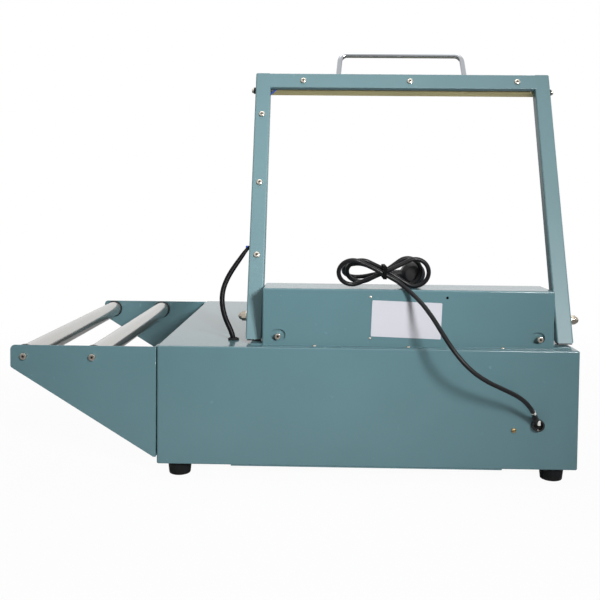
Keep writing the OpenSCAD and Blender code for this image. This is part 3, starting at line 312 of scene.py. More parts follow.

# %% [markdown]
# ## Metals, rubber and plastics
# Screws are warm nickel, the handle is chrome with hardly any grain, the rollers are smooth drawn tube with faint
# lines along their length. Black rubber and plastic reflect less than paint does, so their specular level is
# lower. The walls of screw recesses get a dull dark finish, which is painted shade. Each row gives a name and a
# colour, the roughness from and to, how metallic it is, the clouds' scale and swing, the grain's scale and relief
# and, where they aren't the usual ones, the specular level and the stretch of the grain.

# %% The other finishes: the record's slots and a few looks of this scene
finish_table = [
    ("fasteners", (206, 198, 186), (0.18, 0.3), 1, 60, 0.06, 2600, (0.1, 0.03)),
    # Painted shade: a darker copy of the screws' nickel, for the dark dome nuts.
    ("nut_nickel", (172, 163, 150), (0.1, 0.18), 1, 60, 0.08, 2600, (0.1, 0.03)),
    # Painted shade: the white pivot spacers get this dark finish because the gap they stand in is dark.
    ("spacer_dark", (66, 62, 60), (0.45, 0.6), 0.6, 60, 0.1, 2000, (0.15, 0.05), 0.2),
    # Painted shade: the dull dark walls and floor of the cuts in screw heads.
    ("recess", (62, 56, 50), (0.5, 0.7), 0.4, 80, 0.2, 2600, (0.2, 0.05), 0.2),
    ("steel", (150, 152, 155), (0.28, 0.45), 1, 40, 0.08, 1800, (0.15, 0.05)),
    ("bush_bronze", (176, 130, 76), (0.3, 0.5), 1, 50, 0.1, 1500, (0.15, 0.05)),
    ("earth_brass", (172, 146, 100), (0.22, 0.4), 1, 60, 0.08, 2000, (0.1, 0.04)),
    ("foot_rubber", (27, 28, 29), (0.6, 0.8), 0, 25, 0.15, 1400, (0.3, 0.1), 0.15),
    ("black_plastic", (27, 27, 29), (0.3, 0.46), 0, 30, 0.1, 2200, (0.15, 0.06), 0.3),
    ("gland_black", (19, 19, 21), (0.06, 0.14), 0, 30, 0.1, 2200, (0.1, 0.04)),
    ("cord_black", (22, 22, 24), (0.3, 0.42), 0, 30, 0.12, 1600, (0.2, 0.06), 0.22),
    ("hole_black", (10, 10, 11), (0.6, 0.8), 0, 40, 0.2, 1500, (0.2, 0.05), 0.05),
    ("sleeve", (15, 15, 18), (0.28, 0.46), 0, 60, 0.2, 110, (0.25, 0.3), 0.1),
    ("wire_blue", (36, 70, 164), (0.3, 0.45), 0, 60, 0.1, 1500, (0.15, 0.05)),
    ("roller_grey", (189, 188, 185), (0.15, 0.23), 0.82, 6, 0.03, 900, (0.05, 0.02), 0.5, (1, 0.02, 1)),
    ("band_metal", (190, 184, 174), (0.2, 0.35), 1, 30, 0.06, 2000, (0.1, 0.03)),
    ("tape_brown", (146, 122, 80), (0.4, 0.55), 0, 20, 0.08, 1100, (0.25, 0.06)),
    ("nylon_white", (226, 225, 220), (0.35, 0.5), 0, 20, 0.03, 1500, (0.12, 0.05)),
    ("plate_white", (204, 204, 212), (0.28, 0.4), 0, 14, 0.03, 1700, (0.08, 0.03)),
    ("handle_chrome", (178, 181, 185), (0.05, 0.09), 1, 20, 0.02, 2500, (0.04, 0.02)),
    ("jaw_aluminium", (190, 192, 194), (0.25, 0.4), 1, 15, 0.04, 900, (0.15, 0.05), 0.5, (0.03, 1, 1)),
    ("silicone_red", (170, 84, 62), (0.55, 0.7), 0, 18, 0.07, 1300, (0.2, 0.06)),
    ("rocker_red", (158, 30, 26), (0.2, 0.3), 0, 25, 0.06, 1800, (0.08, 0.03)),
    ("lamp_red", (196, 44, 34), (0.08, 0.16), 0, 40, 0.1, 700, (0.1, 0.05)),
    ("control_grey", (112, 116, 120), (0.3, 0.45), 0.6, 30, 0.08, 1500, (0.15, 0.05)),
    ("coil_yellow", (204, 166, 66), (0.3, 0.5), 0, 25, 0.1, 700, (0.3, 0.1)),
    ("board_green", (46, 104, 68), (0.3, 0.5), 0, 60, 0.2, 900, (0.2, 0.08)),
]
for name, colour, *feel in finish_table:
    finishes[name] = grained(name, screen(*colour), *feel)
print(len(finishes), "finishes")

# %% [markdown]
# ## Laminate board
# The carriers under the arm are cut from a resin-bonded woven board. Two wave textures across each other give
# the threads, and noise breaks them up, so the cut edges keep a slight streak.

# %% Woven laminate
def woven_board(name, colour):
    made = Finish(name)
    wave = {"Vector": made.where, "Scale": 260, "Distortion": 1.5}
    threads = [add_node(made.tree, "TexWave", wave, "Fac", bands_direction=way) for way in ("X", "Y")]
    weave = add_node(made.tree, "Math", {0: threads[0], 1: threads[1]}, operation="MULTIPLY")
    streaks = made.noise(60, 4, made.stretched((0.15, 4, 4)))
    made.feed("Base Color", made.tones(streaks, shade(colour, 0.82), shade(colour, 1.14)))
    made.feed("Roughness", made.spread(made.noise(600), 0.42, 0.58))
    made.feed("Normal", made.relief(weave, 0.15, 0.08))
    return made.material


finishes["laminate"] = woven_board("laminate_board", screen(238, 221, 162))
print("laminate woven")

# %% [markdown]
# ## Shapes from a workshop
# Almost everything here is cut, folded or turned. A slab is a cube with eased edges, a prism is an outline
# pushed along X, a turned piece is a half section spun round its axis, and holes are cut with the Boolean
# modifier. The shapes are drawn in millimetres and set in place by one of the two drawing frames.

# %% Slabs, prisms and turned pieces
def ease(bm, geom, width, steps=3, affect="EDGES", clamp=True):
    bmesh.ops.bevel(bm, geom=list(geom), offset=width, segments=steps, profile=0.5, affect=affect,
                    clamp_overlap=clamp, material=-1)


def along(bm, axis):
    """The edges that run along one of the drawing's axes."""
    return [e for e in bm.edges if abs((e.verts[1].co - e.verts[0].co).normalized()[axis]) > 0.999]


def level_edges(bm, axis):
    """The edges that run square to one of the axes."""
    return [e for e in bm.edges if abs(e.verts[0].co[axis] - e.verts[1].co[axis]) < 1e-4]


def slab(low, high, width=0.5, steps=3):
    bm = bmesh.new()
    bmesh.ops.create_cube(bm, size=1)
    bmesh.ops.scale(bm, vec=Vector(high) - Vector(low), verts=bm.verts)
    bmesh.ops.translate(bm, vec=(Vector(low) + Vector(high)) / 2, verts=bm.verts)
    if width:
        ease(bm, bm.edges, width, steps)
    return bm


def push(bm, way):
    """Gives a flat outline a thickness."""
    pushed = bmesh.ops.extrude_face_region(bm, geom=list(bm.faces))["geom"]
    bmesh.ops.translate(bm, vec=way, verts=[g for g in pushed if isinstance(g, bmesh.types.BMVert)])
    bmesh.ops.recalc_face_normals(bm, faces=bm.faces)


def prism(outline, x0, x1):
    """An outline of (y, z) points pushed along X."""
    bm = bmesh.new()
    bm.faces.new([bm.verts.new((x0, y, z)) for y, z in outline])
    push(bm, (x1 - x0, 0, 0))
    return bm


def place(spot, axis=UP, spin=0.0):
    """The matrix that takes a shape drawn along Z to a spot and an axis, turned about itself by spin degrees."""
    turn = Vector(UP).rotation_difference(Vector(axis)).to_matrix().to_4x4()
    return Matrix.Translation(spot) @ turn @ Matrix.Rotation(math.radians(spin), 4, "Z")


def turned(section, centre=(0, 0, 0), axis=UP, steps=48, closed=False):
    """A half section of (radius, height) points spun round an axis through centre."""
    bm = bmesh.new()
    line = [bm.verts.new((radius, 0, height)) for radius, height in section]
    pairs = list(zip(line, line[1:])) + ([(line[-1], line[0])] if closed else [])
    edges = [bm.edges.new(pair) for pair in pairs]
    bmesh.ops.spin(bm, geom=line + edges, cent=(0, 0, 0), axis=UP, angle=2 * math.pi, steps=steps, use_merge=True)
    bmesh.ops.remove_doubles(bm, verts=bm.verts, dist=1e-4)
    bmesh.ops.recalc_face_normals(bm, faces=bm.faces)
    bmesh.ops.transform(bm, matrix=place(centre, axis), verts=bm.verts)
    return bm


def rod(radius, centre, axis, length, steps=48):
    """A plain bar with both ends closed, for cutting holes; with six steps it is a hexagon."""
    return turned([(0, 0), (radius, 0), (radius, length), (0, length)], centre, axis, steps)


def ring(inside, outside, height, rim=0.25, steps=48):
    """A tube, a washer or a bush along Z, with its outer edges eased by rim."""
    return turned([(inside, 0), (outside - rim, 0), (outside, rim), (outside, height - rim), (outside - rim, height),
                   (inside, height)], steps=steps, closed=True)


print("slabs, prisms and turned pieces ready")

# %% Cuts, groups and rows of one shape
def loose(bm, name):
    mesh = bpy.data.meshes.new(name)
    bm.to_mesh(mesh)
    bm.free()
    return in_scene(name, mesh)


def carve(block, tools, how="DIFFERENCE"):
    """Cuts the tools out of a closed shape, or joins them to it, and gives one clean shape back."""
    block = loose(block, "block")
    tools = [loose(tool, "tool") for tool in tools]
    for tool in tools:
        step = block.modifiers.new("carve", "BOOLEAN")
        step.operation, step.object, step.solver = how, tool, "EXACT"
    result = bmesh.new()
    result.from_object(block, bpy.context.evaluated_depsgraph_get())
    for spare in (block, *tools):
        mesh = spare.data
        bpy.data.objects.remove(spare)
        bpy.data.meshes.remove(mesh)
    bmesh.ops.remove_doubles(result, verts=result.verts, dist=1e-4)
    bmesh.ops.recalc_face_normals(result, faces=result.faces)
    return result


def group(shapes, places=(IN_METRES,)):
    """Several shapes as one mesh, set at one place or more."""
    bm = bmesh.new()
    for shape in shapes:
        mesh = bpy.data.meshes.new("member")
        shape.to_mesh(mesh)
        shape.free()
        for matrix in places:
            before = len(bm.verts)
            bm.from_mesh(mesh)
            bm.verts.ensure_lookup_table()
            bmesh.ops.transform(bm, matrix=matrix, verts=bm.verts[before:])
        bpy.data.meshes.remove(mesh)
    return bm


def repeated(shape, places):
    return group([shape], places)


print("cuts and groups ready")

# %% [markdown]
# ## Setting a piece in place
# A finished piece gets smooth shading with sharp edges kept where faces meet at more than 35 degrees, and
# weighted normals, so that large flat sheets stay flat beside their rounded edges. It takes its body and its
# finish from the CAD solid that it stands for. A piece that joins the base and the arm stays in the model's frame
# and joins neither body.

# %% Setting pieces
def set_piece(bm, name, node, drawing=ON_CABINET, finish=None, inner=None, stands_for=None, bend=None):
    bmesh.ops.transform(bm, matrix=drawing, verts=bm.verts)
    for face in bm.faces:
        face.smooth = True
    for edge in bm.edges:
        edge.smooth = len(edge.link_faces) == 2 and edge.calc_face_angle(0) < math.radians(35)
    piece = loose(bm, name)
    piece.data.materials.append(finishes[finish or slot_of[node]])
    if inner:
        piece.data.materials.append(finishes[inner])
    normals = piece.modifiers.new("flat_faces", "WEIGHTED_NORMAL")
    normals.keep_sharp = True
    if bend:
        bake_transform(piece)
    else:
        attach(piece, body_of[node])
    for stood in ([node] if stands_for is None else stands_for):
        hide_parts(stood)
    print(name, "has", len(piece.data.polygons), "faces")
    return piece


def trim(bm, name, node, finish=None, drawing=ON_CABINET):
    """A piece that stands for no solid, and goes with the body and the slot of one."""
    return set_piece(bm, name, node, drawing, finish, stands_for=[])


def eased_solid(node, width, least=4.0, steps=2):
    """A copy of a CAD solid, in millimetres of its own frame, with its long sharp edges eased."""
    bm = bmesh.new()
    bm.from_mesh(frame["nodes"][node].data)
    bmesh.ops.scale(bm, vec=(1 / MM,) * 3, verts=bm.verts)
    bmesh.ops.remove_doubles(bm, verts=bm.verts, dist=0.002)
    bmesh.ops.dissolve_limit(bm, angle_limit=math.radians(0.5), verts=bm.verts, edges=bm.edges)
    long_edges = [e for e in bm.edges if len(e.link_faces) == 2 and e.calc_length() > least
                  and e.calc_face_angle(0) > math.radians(40)]
    ease(bm, long_edges, width, steps, clamp=False)
    bmesh.ops.recalc_face_normals(bm, faces=bm.faces)
    return bm


print("pieces can be set")

# %% [markdown]
# ## Bent rods and leads
# A lead, a bent rod and a coil spring are each a curve with a round section. A NURBS spline keeps every bend of a
# lead round. A curve can ride on one body; a piece that runs between two bodies is turned into a mesh.

# %% Curves with a round section
def round_curve(name, points, radius, drawing=ON_CABINET, kind="NURBS", sides=5, fine=3, taper=None):
    data = bpy.data.curves.new(name, "CURVE")
    data.dimensions = "3D"
    spline = data.splines.new(kind)
    spline.points.add(len(points) - 1)
    for k, (knot, point) in enumerate(zip(spline.points, points)):
        knot.co = (*(drawing @ Vector(point)), 1)
        knot.radius = taper(k / (len(points) - 1)) if taper else 1.0
    spline.use_endpoint_u, spline.order_u, spline.resolution_u = True, 4, fine
    data.bevel_depth, data.bevel_resolution, data.use_fill_caps = radius * MM, sides, True
    return in_scene(name, data)


def curve_as_mesh(thing):
    """The curve's tube as a mesh shape, in metres, with the curve itself taken away."""
    mesh = bpy.data.meshes.new_from_object(thing.evaluated_get(bpy.context.evaluated_depsgraph_get()))
    bm = bmesh.new()
    bm.from_mesh(mesh)
    data = thing.data
    bpy.data.objects.remove(thing)
    bpy.data.curves.remove(data)
    bpy.data.meshes.remove(mesh)
    bmesh.ops.remove_doubles(bm, verts=bm.verts, dist=1e-6)
    bmesh.ops.recalc_face_normals(bm, faces=bm.faces)
    for face in bm.faces:
        face.material_index = 0
    return bm


def keep_curve(thing, node, stands_for):
    thing.data.materials.append(finishes[slot_of[node]])
    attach(thing, body_of[node])
    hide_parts(*stands_for)
    print(thing.name, round(thing.data.splines[0].calc_length(), 3), "m")


print("curves ready")

# %% [markdown]
# ## The mains lead
# The lead leaves a gland low in the rear wall at a slant and climbs to the top of the hinge cover in a wide bow that
# stands seven centimetres off the wall, as its soft shadow shows. There it lies in a figure-of-eight hank held by a
# tie, with the plug behind it. Its rise is drawn through listed points. Each loop of the hank is a circle, and each
# run between two loops touches both, so no bend is tighter than the loops are. Every loop leans by its own angle
# about the hank's middle line, which fans the strands out.

# %% Loops and runs of the hank
LEAD_R, HUMP_TOP = 3.3, 284
HANK_LOW = HUMP_TOP + LEAD_R + 0.3
HANK_LOOPS = [(22.5, 20.6), (-70.5, 20.6), (9, 21.2), (-61, 20.6), (14, 20.6)]
HANK_LEANS = [-24, -6, -36, -6, -55]
HANK_REAR, HANK_DEPTH = 250, 45
HANK_START = Vector((-40, 298.2))
RUN_STEPS, LOOP_STEPS = 15, 45


def loop_middle(k):
    return Vector((HANK_LOOPS[k][0], HANK_LOW + HANK_LOOPS[k][1]))


def run_heading(k):
    """The way of the run that comes before loop k, in degrees from X."""
    if k == len(HANK_LOOPS):
        return 180.0
    span = loop_middle(k) - (loop_middle(k - 1) if k else HANK_START)
    reach = HANK_LOOPS[k][1] + (HANK_LOOPS[k - 1][1] if k else 0)
    lean = math.degrees(math.asin(reach / span.length))
    way = math.degrees(math.atan2(span.y, span.x)) % 360
    return way - lean if k % 2 else (way + 90) % 360 - 90 + lean


def loop_point(k, share):
    sign = -1 if k % 2 else 1
    start, end = run_heading(k) + 90 * sign, run_heading(k + 1) - 270 * sign
    angle = math.radians(start + (end - start) * share)
    return loop_middle(k) + HANK_LOOPS[k][1] * Vector((math.cos(angle), math.sin(angle)))


def leaned(point, k, share):
    """A flat point's height, and how far its lean takes it towards the camera, part way from loop k - 1 to loop k."""
    blend = share * share * (3 - 2 * share)
    before = (HANK_LEANS[k - 1], loop_middle(k - 1).y) if k else (0.0, loop_middle(0).y)
    angle = math.radians(before[0] + (HANK_LEANS[k] - before[0]) * blend)
    axis_z = before[1] + (loop_middle(k).y - before[1]) * blend
    return point.x, -math.sin(angle) * (point.y - axis_z), axis_z + math.cos(angle) * (point.y - axis_z)


hank_flat = []
for k in range(len(HANK_LOOPS)):
    run_from, run_to = loop_point(k - 1, 1) if k else HANK_START, loop_point(k, 0)
    steps = [i / RUN_STEPS for i in range(1 if k else 0, RUN_STEPS)]
    hank_flat += [leaned(run_from.lerp(run_to, s), k, s) for s in steps]
    hank_flat += [leaned(loop_point(k, i / LOOP_STEPS), k, 1) for i in range(LOOP_STEPS + 1)]
hank = [Vector((x, HANK_REAR - HANK_DEPTH * i / (len(hank_flat) - 1) + nearer, z))
        for i, (x, nearer, z) in enumerate(hank_flat)]
print("hank of", len(hank), "points, loops of", [r for _, r in HANK_LOOPS], "mm")

# %% The lead as one curve
GLAND, LEAD_WAY = Vector((-250, 260, 89)), Vector((0.36, 0.64, 0.68)).normalized()
GLAND_MOUTH = GLAND + Vector(BACK)
PLUG, SLEEVE_START, SLEEVE_LENGTH = Vector((-72, 197, 303)), 17, 24
TAIL_STEPS, TAIL_REACH = 7, 42
lead_points = [GLAND_MOUTH + t * LEAD_WAY for t in (7, 16, 25, 32)]
lead_points += [
    (-233, 289, 119), (-226, 297, 127.5), (-217, 305.5, 136.5), (-205, 314.5, 145), (-190, 321.5, 153),
    (-171, 327, 162), (-152, 330, 172), (-135, 331, 185.5), (-121, 329, 200.5), (-110, 324, 215.5),
    (-101, 316, 230), (-92, 304.5, 245.5), (-83, 292, 259), (-75, 278.5, 269), (-68, 266.5, 276),
    (-60.5, 257.5, 282.5), (-52, 252, 289.5)]
lead_points += [hank[0] - 3 * (hank[1] - hank[0]).normalized()] + hank
for s in [k / TAIL_STEPS for k in range(1, TAIL_STEPS + 1)]:
    rise = 2 * s * s if s < 0.5 else 1 - 2 * (1 - s) ** 2
    level = hank[-1].lerp(PLUG, rise)
    lead_points.append((hank[-1].x - TAIL_REACH * s, level.y, level.z))
lead_points.append(PLUG + Vector((SLEEVE_START + SLEEVE_LENGTH, 0, 0)))
mains_lead = round_curve("mains_lead", lead_points, LEAD_R, fine=2)
keep_curve(mains_lead, "mains_cord", ["mains_cord", "cord_hank"])

# %% [markdown]
# ## Gland, ties and plug
# The gland is a glossy ring round a cup, and a ribbed sleeve leans out of the cup and tapers to the lead's own
# thickness. A clear tie sits above it. The plug is a round moulding with a bevelled back and two round pins,
# and its sleeve is ribbed in the same way.

# %% Gland, ties and plug
def ribbed(base_radius, tip_radius, start, length, ribs):
    """The section of a tapered sleeve with rings cut into it."""
    section = []
    for k in range(ribs):
        a, b = start + length * k / ribs, start + length * (k + 1) / ribs
        wide = base_radius + (tip_radius - base_radius) * (k + 0.5) / ribs
        section += [(wide, a + 0.15 * (b - a)), (wide, b - 0.35 * (b - a)), (wide - 0.7, b - 0.3 * (b - a)),
                    (wide - 0.7, b + 0.1 * (b - a))]
    return section[:-1] + [(tip_radius - 0.5, start + length)]


ring_section = [(3.5, -7.5), (6.25, -7.5), (6.25, 0), (8.9, 0), (9.25, 0.4), (9.25, 5.4), (8.95, 6.3), (8.2, 6.9),
                (7.3, 7.0), (6.5, 6.6), (6.05, 5.8), (6.0, 2.0), (3.5, 2.0)]
gland_ring = set_piece(turned(ring_section, GLAND, BACK, 64, closed=True), "gland_ring", "cord_gland",
                       finish="gland_black")
sleeve_section = [(3.5, 1.0)] + ribbed(5.2, 4.2, 1.0, 23.0, 6) + [(3.5, 24)]
gland_sleeve = trim(turned(sleeve_section, GLAND_MOUTH, LEAD_WAY, 48, closed=True), "gland_sleeve", "cord_gland")
clear_loop = turned([(3.2, -0.7), (3.5, -0.7), (3.6, -0.5), (3.6, 0.5), (3.5, 0.7), (3.2, 0.7)], closed=True)
tie_lock = slab((3.0, -1.6, -1.7), (5.0, 1.6, 1.7), 0.4)
clear_tie = trim(group([clear_loop, tie_lock], [place((-236.6, 284.4, 113.7), LEAD_WAY, 120)]), "clear_tie",
                 "cord_gland", "nylon_white")
tie_tail = trim(slab((-251.0, 268.0, 91.2), (-246.6, 273.8, 98.4), 0.9), "tie_tail", "cord_gland", "nylon_white")
hank_band = set_piece(eased_solid("hank_tie", 0.4, least=0.2), "hank_band", "hank_tie", IN_FRAME, finish="hole_black")
plug_body = [(0, -11), (11.5, -11), (13.2, -10.6), (17.4, -6.6), (18.3, -5.0), (18.5, -3.0), (18.5, 1.0),
             (17.9, 1.6), (17.9, 2.4), (18.5, 3.0), (18.5, 9.8), (17.6, 10.8), (16.6, 11), (0, 11)]
plug_sleeve = [(6.9, 0)] + ribbed(6.6, 4.3, 1.0, 23.0, 7) + [(3.4, SLEEVE_LENGTH)]
plug = set_piece(group([turned(plug_body, PLUG, FRONT, 64),
                        turned(plug_sleeve, PLUG + Vector((SLEEVE_START, 0, 0)), RIGHT, 40)]),
                 "mains_plug_moulding", "mains_plug")
plug_pin = turned([(0, -1), (2.4, -1), (2.4, 17), (2.1, 18.4), (1.3, 19.2), (0, 19.5)], steps=24)
pins = trim(repeated(plug_pin, [place(PLUG + Vector((s * 9.5, -11, 0)), FRONT) for s in (-1, 1)]), "plug_pins",
            "mains_plug", "fasteners")

# %% [markdown]
# ## The arm's lead
# A black sleeve carries the heater wires from a grommet in the table to a hole in the post. It bows out
# sideways so that it can follow the arm down, and gets thinner where it enters the post. As a mesh it stays in
# the model's frame, between the base and the arm, and joins neither body.

# %% Sleeved lead and its grommet
GROMMET, SLEEVE_R, LEAD_HOLE_Y = Vector((203, 200, 198)), 4.0, -111
THIN_FROM, THIN_OVER, THIN_BY = 0.68, 0.25, 0.34
arm_lead_points = [
    (203, 200, 196), (204.6, 199.7, 206), (209.8, 198, 217), (217.1, 195, 231), (222.4, 190.5, 249), (223.3, 185, 268),
    (218.3, 180, 286), (208.5, 175.5, 304), (198, 171.5, 319), (190.4, 168.8, 330.5), (186.2, 167.4, 336),
    (182.3, 166.7, 340)]
arm_lead_bend = (ON_CABINET @ Vector((203, 200, 212)), ON_CABINET @ Vector((190, 168, 322)))


def sleeve_taper(share):
    return 1.0 - THIN_BY * max(0.0, min(1.0, (share - THIN_FROM) / THIN_OVER))


line = curve_as_mesh(round_curve("arm_lead_line", arm_lead_points, 0, sides=0, fine=6))
line.free()
sleeve_tube = curve_as_mesh(round_curve("sleeve_tube", arm_lead_points, SLEEVE_R, sides=6, fine=6, taper=sleeve_taper))
arm_lead = set_piece(sleeve_tube, "arm_lead_sleeve", "arm_lead", IN_METRES, finish="sleeve", bend=arm_lead_bend)
wire_tip = turned([(0, 0), (1.9, 0), (1.9, 7.5), (1.5, 8.2), (0, 8.4)], (180, LEAD_HOLE_Y, 0), RIGHT, 24)
trim(wire_tip, "lead_core", "arm_post_right", "wire_blue", ON_ARM)
grommet_section = [(4.5, -3.5), (5.5, -3.5), (5.5, 0), (8.2, 0), (8.5, 0.4), (8.5, 1.6), (8.0, 2.5), (6.9, 3.0),
                   (5.2, 3.0), (4.5, 2.4)]
set_piece(turned(grommet_section, GROMMET, steps=56, closed=True), "lead_grommet", "table_grommet")

# %% [markdown]
# ## Cabinet
# The cabinet is one folded shell, so its vertical corners have the sheet's bend radius and its top edges a
# smaller one. A cube is beveled twice, hollowed with a smaller one and opened below and for the fittings.

# %% Cabinet shell and bottom cover
SIDE, REAR, BASE, TABLE, SHEET = 310, 260, 22, 198, 1.5
KNOB, LAMP, SWITCH = [Vector((x, -REAR, 114)) for x in (212, 120, 166)]
SWITCH_HALF, THROUGH = Vector((9.5, 10, 14.5)), 10
shell = slab((-SIDE, -REAR, BASE), (SIDE, REAR, TABLE), 0)
ease(shell, along(shell, 2), 3.0, 6)
ease(shell, level_edges(shell, 2), 2.2, 5)
corner, sheet = Vector((SIDE, REAR, TABLE)), Vector((SHEET,) * 3)
openings = [slab(Vector((-SIDE, -REAR, BASE)) + sheet, corner - sheet, 0), slab((-190, -248, 10), (190, 248, 30), 0),
            slab(SWITCH - SWITCH_HALF, SWITCH + SWITCH_HALF, 0)]
fittings = [(6.45, GLAND, BACK), (5.7, GROMMET, UP), (4.7, KNOB, BACK), (5.2, LAMP, BACK)]
openings += [rod(radius, spot - THROUGH * Vector(way), way, 2 * THROUGH) for radius, spot, way in fittings]
set_piece(carve(shell, openings), "cabinet", "cabinet_shell")
set_piece(eased_solid("bottom_cover", 0.4), "bottom_plate", "bottom_cover", IN_FRAME)

# %% [markdown]
# ## Feet
# Four turned rubber feet taper towards the floor, with a softened rim and a recess for their screw.

# %% Rubber feet
FEET = [(x * 280, y * 230) for x in (-1, 1) for y in (-1, 1)]
foot_section = [(2.7, 11), (6, 11), (6, 0.6), (6.5, 0), (14.4, 0), (15.5, 0.5), (16.1, 1.6), (17.9, 18.0),
                (18.4, 19.0), (18.5, 20.2), (18.5, 21.2), (18.1, 22), (2.7, 22)]
set_piece(repeated(turned(foot_section, steps=64, closed=True), [place((x, y, 0)) for x, y in FEET]), "turned_feet",
          "rubber_feet")

# %% [markdown]
# ## Hinge cover
# The folded cover over the hinges stands on the table's rear edge on narrow flanges. Two oblong holes in its
# rear give access to the spring screws. Its ends come a little closer to the posts than the solid's do, so the
# hinges inside keep two measures of their own.

# %% Hinge cover
HUMP_X0, HUMP_X1, HUMP_FRONT, HUMP_REAR = -274.5, 155.3, 173, 250
HINGE_X0, HINGE_X1 = -273.5, 152.5
FLANGE = 8


def oblong(x):
    """A tool for an oblong hole in the cover's rear."""
    middle, half = Vector((x, HUMP_REAR, 214.7)), Vector((11, 6, 8.25))
    hole = slab(middle - half, middle + half, 0)
    ease(hole, along(hole, 1), half.z - 0.02, 12)
    return hole


hood = slab((HUMP_X0, HUMP_FRONT, TABLE), (HUMP_X1, HUMP_REAR, HUMP_TOP), 0)
ease(hood, [e for e in hood.edges if max(v.co.z for v in e.verts) > TABLE + 1], 2.4, 5)
foot = slab((HUMP_X0, HUMP_FRONT - FLANGE, TABLE), (HUMP_X1, HUMP_REAR + FLANGE, TABLE + SHEET), 0.4)
hood = carve(hood, [foot], "UNION")
cutters = [slab((HUMP_X0 + SHEET, HUMP_FRONT + SHEET, TABLE - 1),
                (HUMP_X1 - SHEET, HUMP_REAR - SHEET, HUMP_TOP - SHEET), 0)]
cutters += [oblong(x) for x in (131.9, -250.1)]
cutters += [rod(8, (x - 5, PIVOT_Y, PIVOT_Z), RIGHT, 10, 40) for x in (HUMP_X0, HUMP_X1)]
cutters += [slab((x, 184, TABLE - 1), (x + 10, 247.5, TABLE + 3.4), 0) for x in (HUMP_X0 - 8, HUMP_X1 - 2)]
set_piece(carve(hood, cutters), "folded_cover", "hinge_cover")

# %% [markdown]
# ## A bare plate on the hinge cover
# A thin white plate sits a little askew on the cover's rear. It is left blank. Two bright rivets and two black
# plugs close the four small holes around it.

# %% Blank plate, rivets and plugs
PLATE_HALF_W, PLATE_HALF_H, PLATE_SPOT, PLATE_TILT = 51.5, 26.8, (-57.5, HUMP_REAR, 239.6), -1.8
plate = slab((-PLATE_HALF_W, 0, -PLATE_HALF_H), (PLATE_HALF_W, 0.5, PLATE_HALF_H), 0)
ease(plate, along(plate, 1), 1.5, 4)
ease(plate, [e for e in plate.edges if all(v.co.y > 0.4 for v in e.verts)], 0.15, 2)
askew = Matrix.Translation(PLATE_SPOT) @ Matrix.Rotation(math.radians(PLATE_TILT), 4, "Y")
trim(repeated(plate, [askew]), "blank_plate", "hinge_cover", "plate_white")
dome = [(0, -2), (1.0, -2), (1.0, 0), (1.9, 0), (1.8, 0.5), (1.3, 0.95), (0.6, 1.15), (0, 1.2)]
for word, x, finish in (("rivets", -4.2, "fasteners"), ("hole_plugs", -117.2, "hole_black")):
    spots = [place((x, HUMP_REAR, z), BACK) for z in (211.3, 272.8)]
    trim(repeated(turned(dome, steps=24), spots), "plate_" + word, "hinge_cover", finish)

# %% [markdown]
# ## Sealing arm
# Two rectangular tubes turn on the pivots, their rear ends cut off at a slant so that they clear the table. A
# shallow channel joins their front ends. Below it, on white spacers, hangs a laminate strip that reaches behind both
# tubes, and a second strip runs under one tube. They carry the heating bands under brown tape.

# %% Posts and bar
POSTS, POST_W, POST_HALF, POST_EASE = {"right": 157, "left": -310}, 25, 10, 2.6
ARM_END, BAR_BACK, HEEL = -416, -389.5, 38
SLANT, SHADE_PLUG_PLAY, SHADE_PLUG_LIP, SHADE_PLUG_REACH = math.radians(ARM_ANGLE), 2, 2.2, 12


def on_slant(z):
    """Where the slanted end of a tube is at a height z above the tube's middle."""
    return HEEL - (POST_HALF - z) / math.tan(SLANT)


def arm_tube(x0, holes=()):
    outline = [(ARM_END, -POST_HALF), (on_slant(-POST_HALF), -POST_HALF), (HEEL, POST_HALF), (ARM_END, POST_HALF)]
    tube = prism(outline, x0, x0 + POST_W)
    ease(tube, level_edges(tube, 0), POST_EASE, 5)
    hollow = slab((x0 + SHEET, ARM_END + SHEET, SHEET - POST_HALF), (x0 + POST_W - SHEET, 60, POST_HALF - SHEET), 0)
    return carve(tube, [hollow, rod(5.05, (x0 - 1, 0, 0), RIGHT, POST_W + 2), *holes])


def shade_end_plug(x0):
    """A black plug in a tube's rear end, with its lip below the slanted cut; it stands for the shade in the gap under
    the tube's end.
    """
    half, lip = POST_HALF - SHADE_PLUG_PLAY, SHADE_PLUG_LIP / math.sin(SLANT)
    low, high = on_slant(-half), on_slant(half)
    outline = [(low - SHADE_PLUG_REACH, -half), (low + lip, -half), (high + lip, half), (high - SHADE_PLUG_REACH, half)]
    plug = prism(outline, x0 + SHADE_PLUG_PLAY, x0 + POST_W - SHADE_PLUG_PLAY)
    ease(plug, plug.edges, 0.4, 2)
    return plug


lead_hole = rod(4.2, (175, LEAD_HOLE_Y, 0), RIGHT, 10)
set_piece(arm_tube(POSTS["right"], [lead_hole]), "arm_tube_right", "arm_post_right", ON_ARM)
set_piece(arm_tube(POSTS["left"]), "arm_tube_left", "arm_post_left", ON_ARM)
# Black plugs in the tubes' rear ends stand for the shade in the gap under each tube.
for word, x0 in POSTS.items():
    trim(shade_end_plug(x0), "shade_plug_" + word, "arm_post_" + word, "black_plastic", ON_ARM)
bar_x0, bar_x1 = POSTS["left"] + POST_W - POST_EASE, POSTS["right"] + POST_EASE
bar = slab((bar_x0, ARM_END, 1), (bar_x1, BAR_BACK, POST_HALF), 0)
ease(bar, along(bar, 0), 1.5, 4)
bar_inside = slab((bar_x0 - 2.4, ARM_END + SHEET, -5), (bar_x1 + 2.4, BAR_BACK - SHEET, POST_HALF - SHEET), 0)
set_piece(carve(bar, [bar_inside]), "front_channel", "front_bar", ON_ARM)

